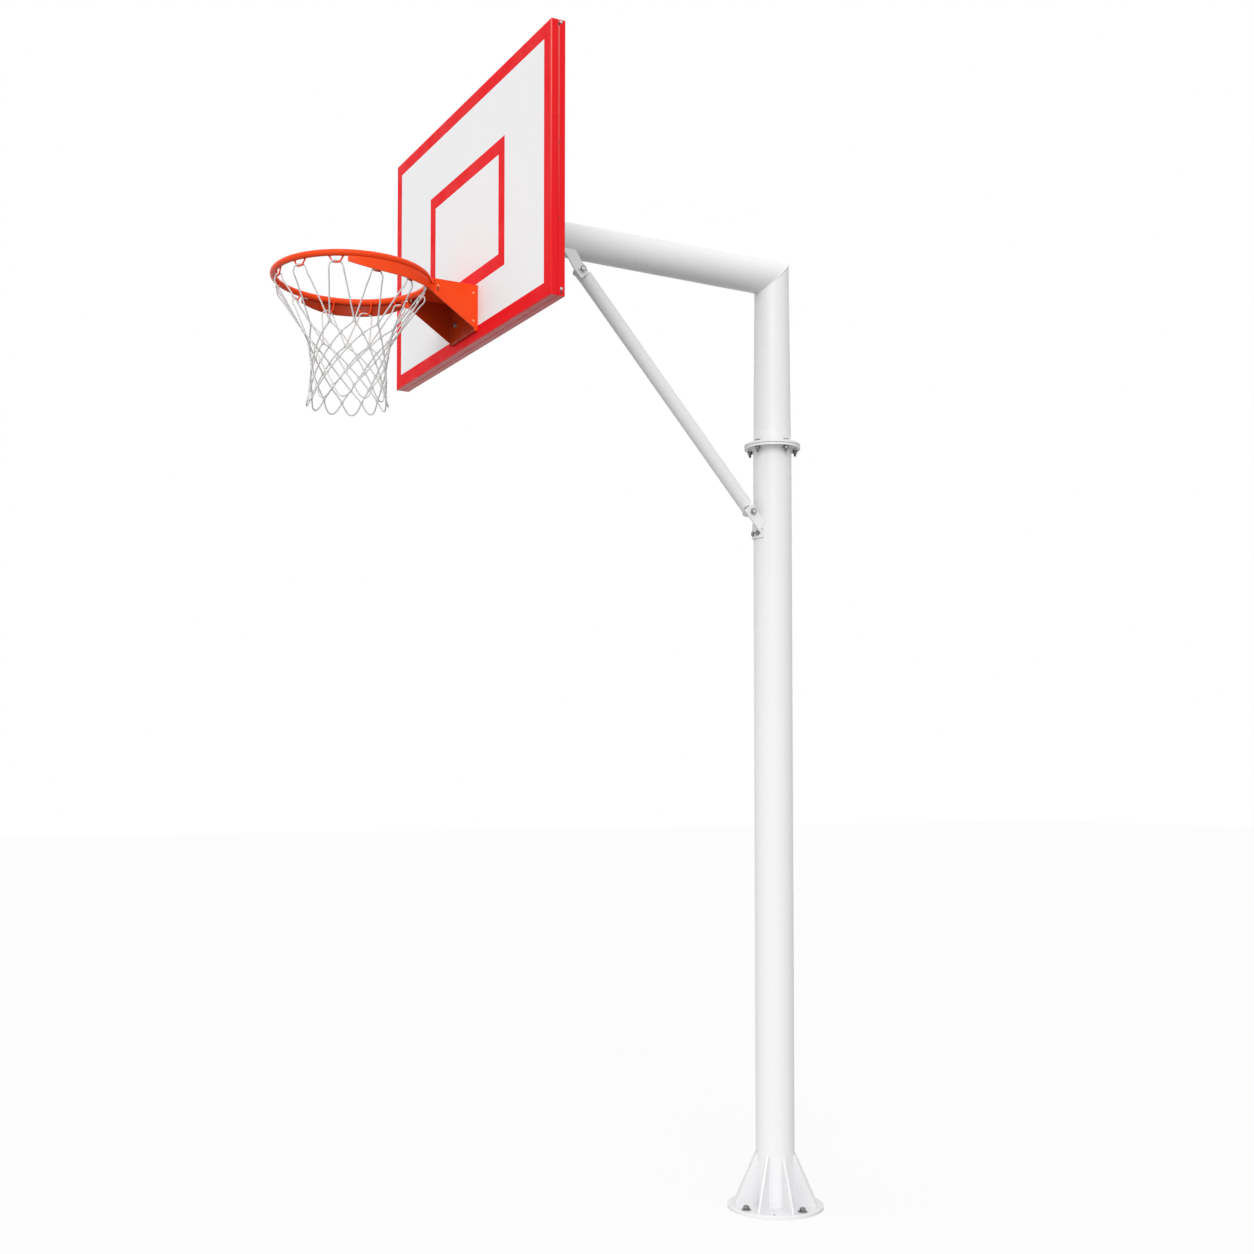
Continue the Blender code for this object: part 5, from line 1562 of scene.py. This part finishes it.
def foot_loop(index, rows):
    """The pointed loop that hangs between two knots of the last row."""
    last = KNOT_ROWS - 1
    column = 2 * index + (last + 1) % 2
    radius, height = rows[last]
    middle = net_angle(last, column + 1)
    half_angle = math.pi / HOOK_COUNT
    points = [knot_at(last, column, rows)]
    for i in range(1, 10):
        share = 2 * i / 10 - 1
        fall = 1 - abs(share) ** FOOT_BLUNTNESS
        angle = middle + half_angle * (share * (1 - FOOT_PINCH * (1 - share**2)))
        points.append(in_net(angle, radius + FOOT_SPLAY * fall, height - FOOT_LOOP * fall))
    return points + [knot_at(last, column + 2, rows)]


def diagonal(index, rows, direction):
    """A cord that slants down through one knot of every row, outside or inside those of the other slant."""
    columns = [2 * index + 1 + direction * row for row in range(KNOT_ROWS)]
    return [knot_at(row, column, rows, direction * CROSSING_GAP) for row, column in enumerate(columns)]


def strand_profile(cord, lay):
    """A three-stranded cord's radius, whose bulges run once round it in a lay."""

    def radius_at(distance, turn):
        return cord / 2 * (STRAND_MEAN + STRAND_BULGE * math.cos(3 * (turn - 2 * math.pi * distance / lay)))

    return radius_at


def add_knot(shape, centre, angle, size, cord):
    """A knot of the cord round itself, as a small trefoil lying in the net's surface."""
    sideways, outward = polar(angle + math.pi / 2, 1.0), polar(angle, 1.0)
    points = []
    for turn in turns(KNOT_STEPS):
        x = (math.sin(turn) + 2 * math.sin(2 * turn)) / 3 * size
        z = (math.cos(turn) - 2 * math.cos(2 * turn)) / 3 * size
        y = -math.sin(3 * turn) * cord * KNOT_DEPTH
        points.append(centre + x * sideways + y * outward + Vector((0, 0, z)))
    add_tube(shape, points, even(cord * KNOT_CORD_RADIUS), 8, True)


class GOAL_OT_net(Operator):
    """Knots the net from twisted cord and hangs it on the hooks"""

    bl_idname = "goal.net"
    bl_label = "Knot the net"

    def execute(self, context):
        settings = context.scene.goal_net
        cord = settings.cord_diameter
        strand = strand_profile(cord, settings.lay_length)
        rows = net_rows()
        shape = bmesh.new()
        for i in range(HOOK_COUNT):
            routes = [hook_loop(i, rows, cord), foot_loop(i, rows)]
            routes += [diagonal(i, rows, direction) for direction in (-1, 1)]
            for route in routes:
                add_tube(shape, resampled(route, CORD_STEP), strand, CORD_SIDES)
        for row in range(KNOT_ROWS):
            for i in range(HOOK_COUNT):
                column = 2 * i + 1 + row
                angle = column * math.pi / HOOK_COUNT
                add_knot(shape, knot_at(row, column, rows), angle, settings.knot_size, cord)
        finish_piece("net_cords", shape, "net_cord", ("net",))
        return {"FINISHED"}


def seen_in_picture(tree):
    """1 for what the camera sees, straight or by way of gloss and glass, and 0 for light on the goal."""
    rays = tree.nodes.new("ShaderNodeLightPath").outputs
    seen = math_node(tree, "MAXIMUM", rays["Is Camera Ray"], rays["Is Glossy Ray"])
    return math_node(tree, "MAXIMUM", seen, rays["Is Transmission Ray"])


def plain_shader(tree, kind, grey):
    """A shader node of an even grey, from black at 0 to white at 1."""
    node = tree.nodes.new(kind)
    node.inputs["Color"].default_value = (grey, grey, grey, 1)
    return node


def mix_to_surface(tree, output_kind, share, first, second):
    """Makes the tree's surface from two shaders; the share is the second one's."""
    mix = tree.nodes.new("ShaderNodeMixShader")
    for socket, value in zip(mix.inputs, (share, first.outputs[0], second.outputs[0])):
        tree.links.new(value, socket)
    tree.links.new(mix.outputs[0], tree.nodes.new(output_kind).inputs["Surface"])


def world_shading(world, stage):
    """White where it is seen, and a soft sky that is brighter overhead where it lights the goal."""
    world.use_nodes = True
    tree = world.node_tree
    tree.nodes.clear()
    x, y, z = split_xyz(tree, tree.nodes.new("ShaderNodeTexCoord").outputs["Generated"])
    towards = polar(stage.sky_heading, stage.sky_lean)
    lift = math_node(tree, "MULTIPLY", z, stage.sky_slope)
    sideways = math_node(tree, "MULTIPLY", x, towards.x)
    forward = math_node(tree, "MULTIPLY", y, towards.y)
    lean = math_node(tree, "ADD", sideways, forward)
    total = math_node(tree, "ADD", math_node(tree, "ADD", lift, lean), stage.sky)
    sky = plain_shader(tree, "ShaderNodeBackground", 1)
    tree.links.new(math_node(tree, "MAXIMUM", total, DIMMEST_SKY), sky.inputs["Strength"])
    backdrop = plain_shader(tree, "ShaderNodeBackground", 1)
    mix_to_surface(tree, "ShaderNodeOutputWorld", seen_in_picture(tree), sky, backdrop)


def make_floor():
    """A pale floor that is white in the picture and keeps a faint shadow."""
    mesh = bpy.data.meshes.new("floor")
    signs = ((-1, -1), (1, -1), (1, 1), (-1, 1))
    mesh.from_pydata([(x * FLOOR_REACH, y * FLOOR_REACH, 0) for x, y in signs], [], [(0, 1, 2, 3)])
    floor = bpy.data.objects.new("floor", mesh)
    floor.location.z = -FLOOR_DROP
    bpy.context.scene.collection.objects.link(floor)
    material = bpy.data.materials.new("floor_white")
    material.use_nodes = True
    tree = material.node_tree
    tree.nodes.clear()
    diffuse = plain_shader(tree, "ShaderNodeBsdfDiffuse", FLOOR_GREY)
    glow = plain_shader(tree, "ShaderNodeEmission", 1)
    share = math_node(tree, "MULTIPLY", seen_in_picture(tree), FLOOR_GLOW)
    mix_to_surface(tree, "ShaderNodeOutputMaterial", share, diffuse, glow)
    mesh.materials.append(material)
    floor.visible_diffuse = False


class GOAL_OT_stage(Operator):
    """Sets the camera, the light and the floor"""

    bl_idname = "goal.stage"
    bl_label = "Set the stage"

    def execute(self, context):
        stage = context.scene.goal_stage
        scene = context.scene
        data = bpy.data.cameras.new("camera")
        data.lens = stage.lens
        data.shift_x, data.shift_y = CAMERA_SHIFT
        camera = bpy.data.objects.new("camera", data)
        camera.location = CAMERA_PLACE
        camera.rotation_euler = (math.pi / 2 + stage.tilt, 0, stage.turn)
        scene.collection.objects.link(camera)
        scene.camera = camera
        scene.view_settings.view_transform = "Standard"
        world = bpy.data.worlds.new("studio")
        world_shading(world, stage)
        scene.world = world
        lamp_data = bpy.data.lights.new("broad_lamp", "SUN")
        lamp_data.energy = stage.lamp
        lamp_data.angle = LAMP_ANGLE
        lamp = bpy.data.objects.new("broad_lamp", lamp_data)
        lamp.rotation_euler = LAMP_TURN
        scene.collection.objects.link(lamp)
        make_floor()
        return {"FINISHED"}


class GOAL_PT_dressing(Panel):
    """Lists the settings and the steps that dress the goal"""

    bl_idname = "GOAL_PT_dressing"
    bl_label = "Basketball Goal"
    bl_space_type = "VIEW_3D"
    bl_region_type = "UI"
    bl_category = "Goal"

    def draw(self, context):
        for group in SETTINGS:
            box = self.layout.box()
            settings = getattr(context.scene, group)
            for name in settings.__annotations__:
                box.prop(settings, name)
        for step in STEPS:
            self.layout.operator(step.bl_idname)


SETTINGS = {
    "goal_paint": PaintSettings,
    "goal_net": NetSettings,
    "goal_welds": WeldSettings,
    "goal_stage": StageSettings,
}
STEPS = (
    GOAL_OT_finishes,
    GOAL_OT_pole_welds,
    GOAL_OT_anchors,
    GOAL_OT_flange_bolts,
    GOAL_OT_stay_bolts,
    GOAL_OT_board_bolts,
    GOAL_OT_rim,
    GOAL_OT_bracket,
    GOAL_OT_board,
    GOAL_OT_stay,
    GOAL_OT_net,
    GOAL_OT_stage,
)


def register():
    for cls in (*SETTINGS.values(), *STEPS, GOAL_PT_dressing):
        bpy.utils.register_class(cls)
    for name, cls in SETTINGS.items():
        setattr(bpy.types.Scene, name, PointerProperty(type=cls))


def unregister():
    for name in SETTINGS:
        delattr(bpy.types.Scene, name)
    for cls in reversed((*SETTINGS.values(), *STEPS, GOAL_PT_dressing)):
        bpy.utils.unregister_class(cls)


def main():
    register()
    for step in STEPS:
        category, name = step.bl_idname.split(".")
        getattr(getattr(bpy.ops, category), name)()


if __name__ == "__main__":
    main()
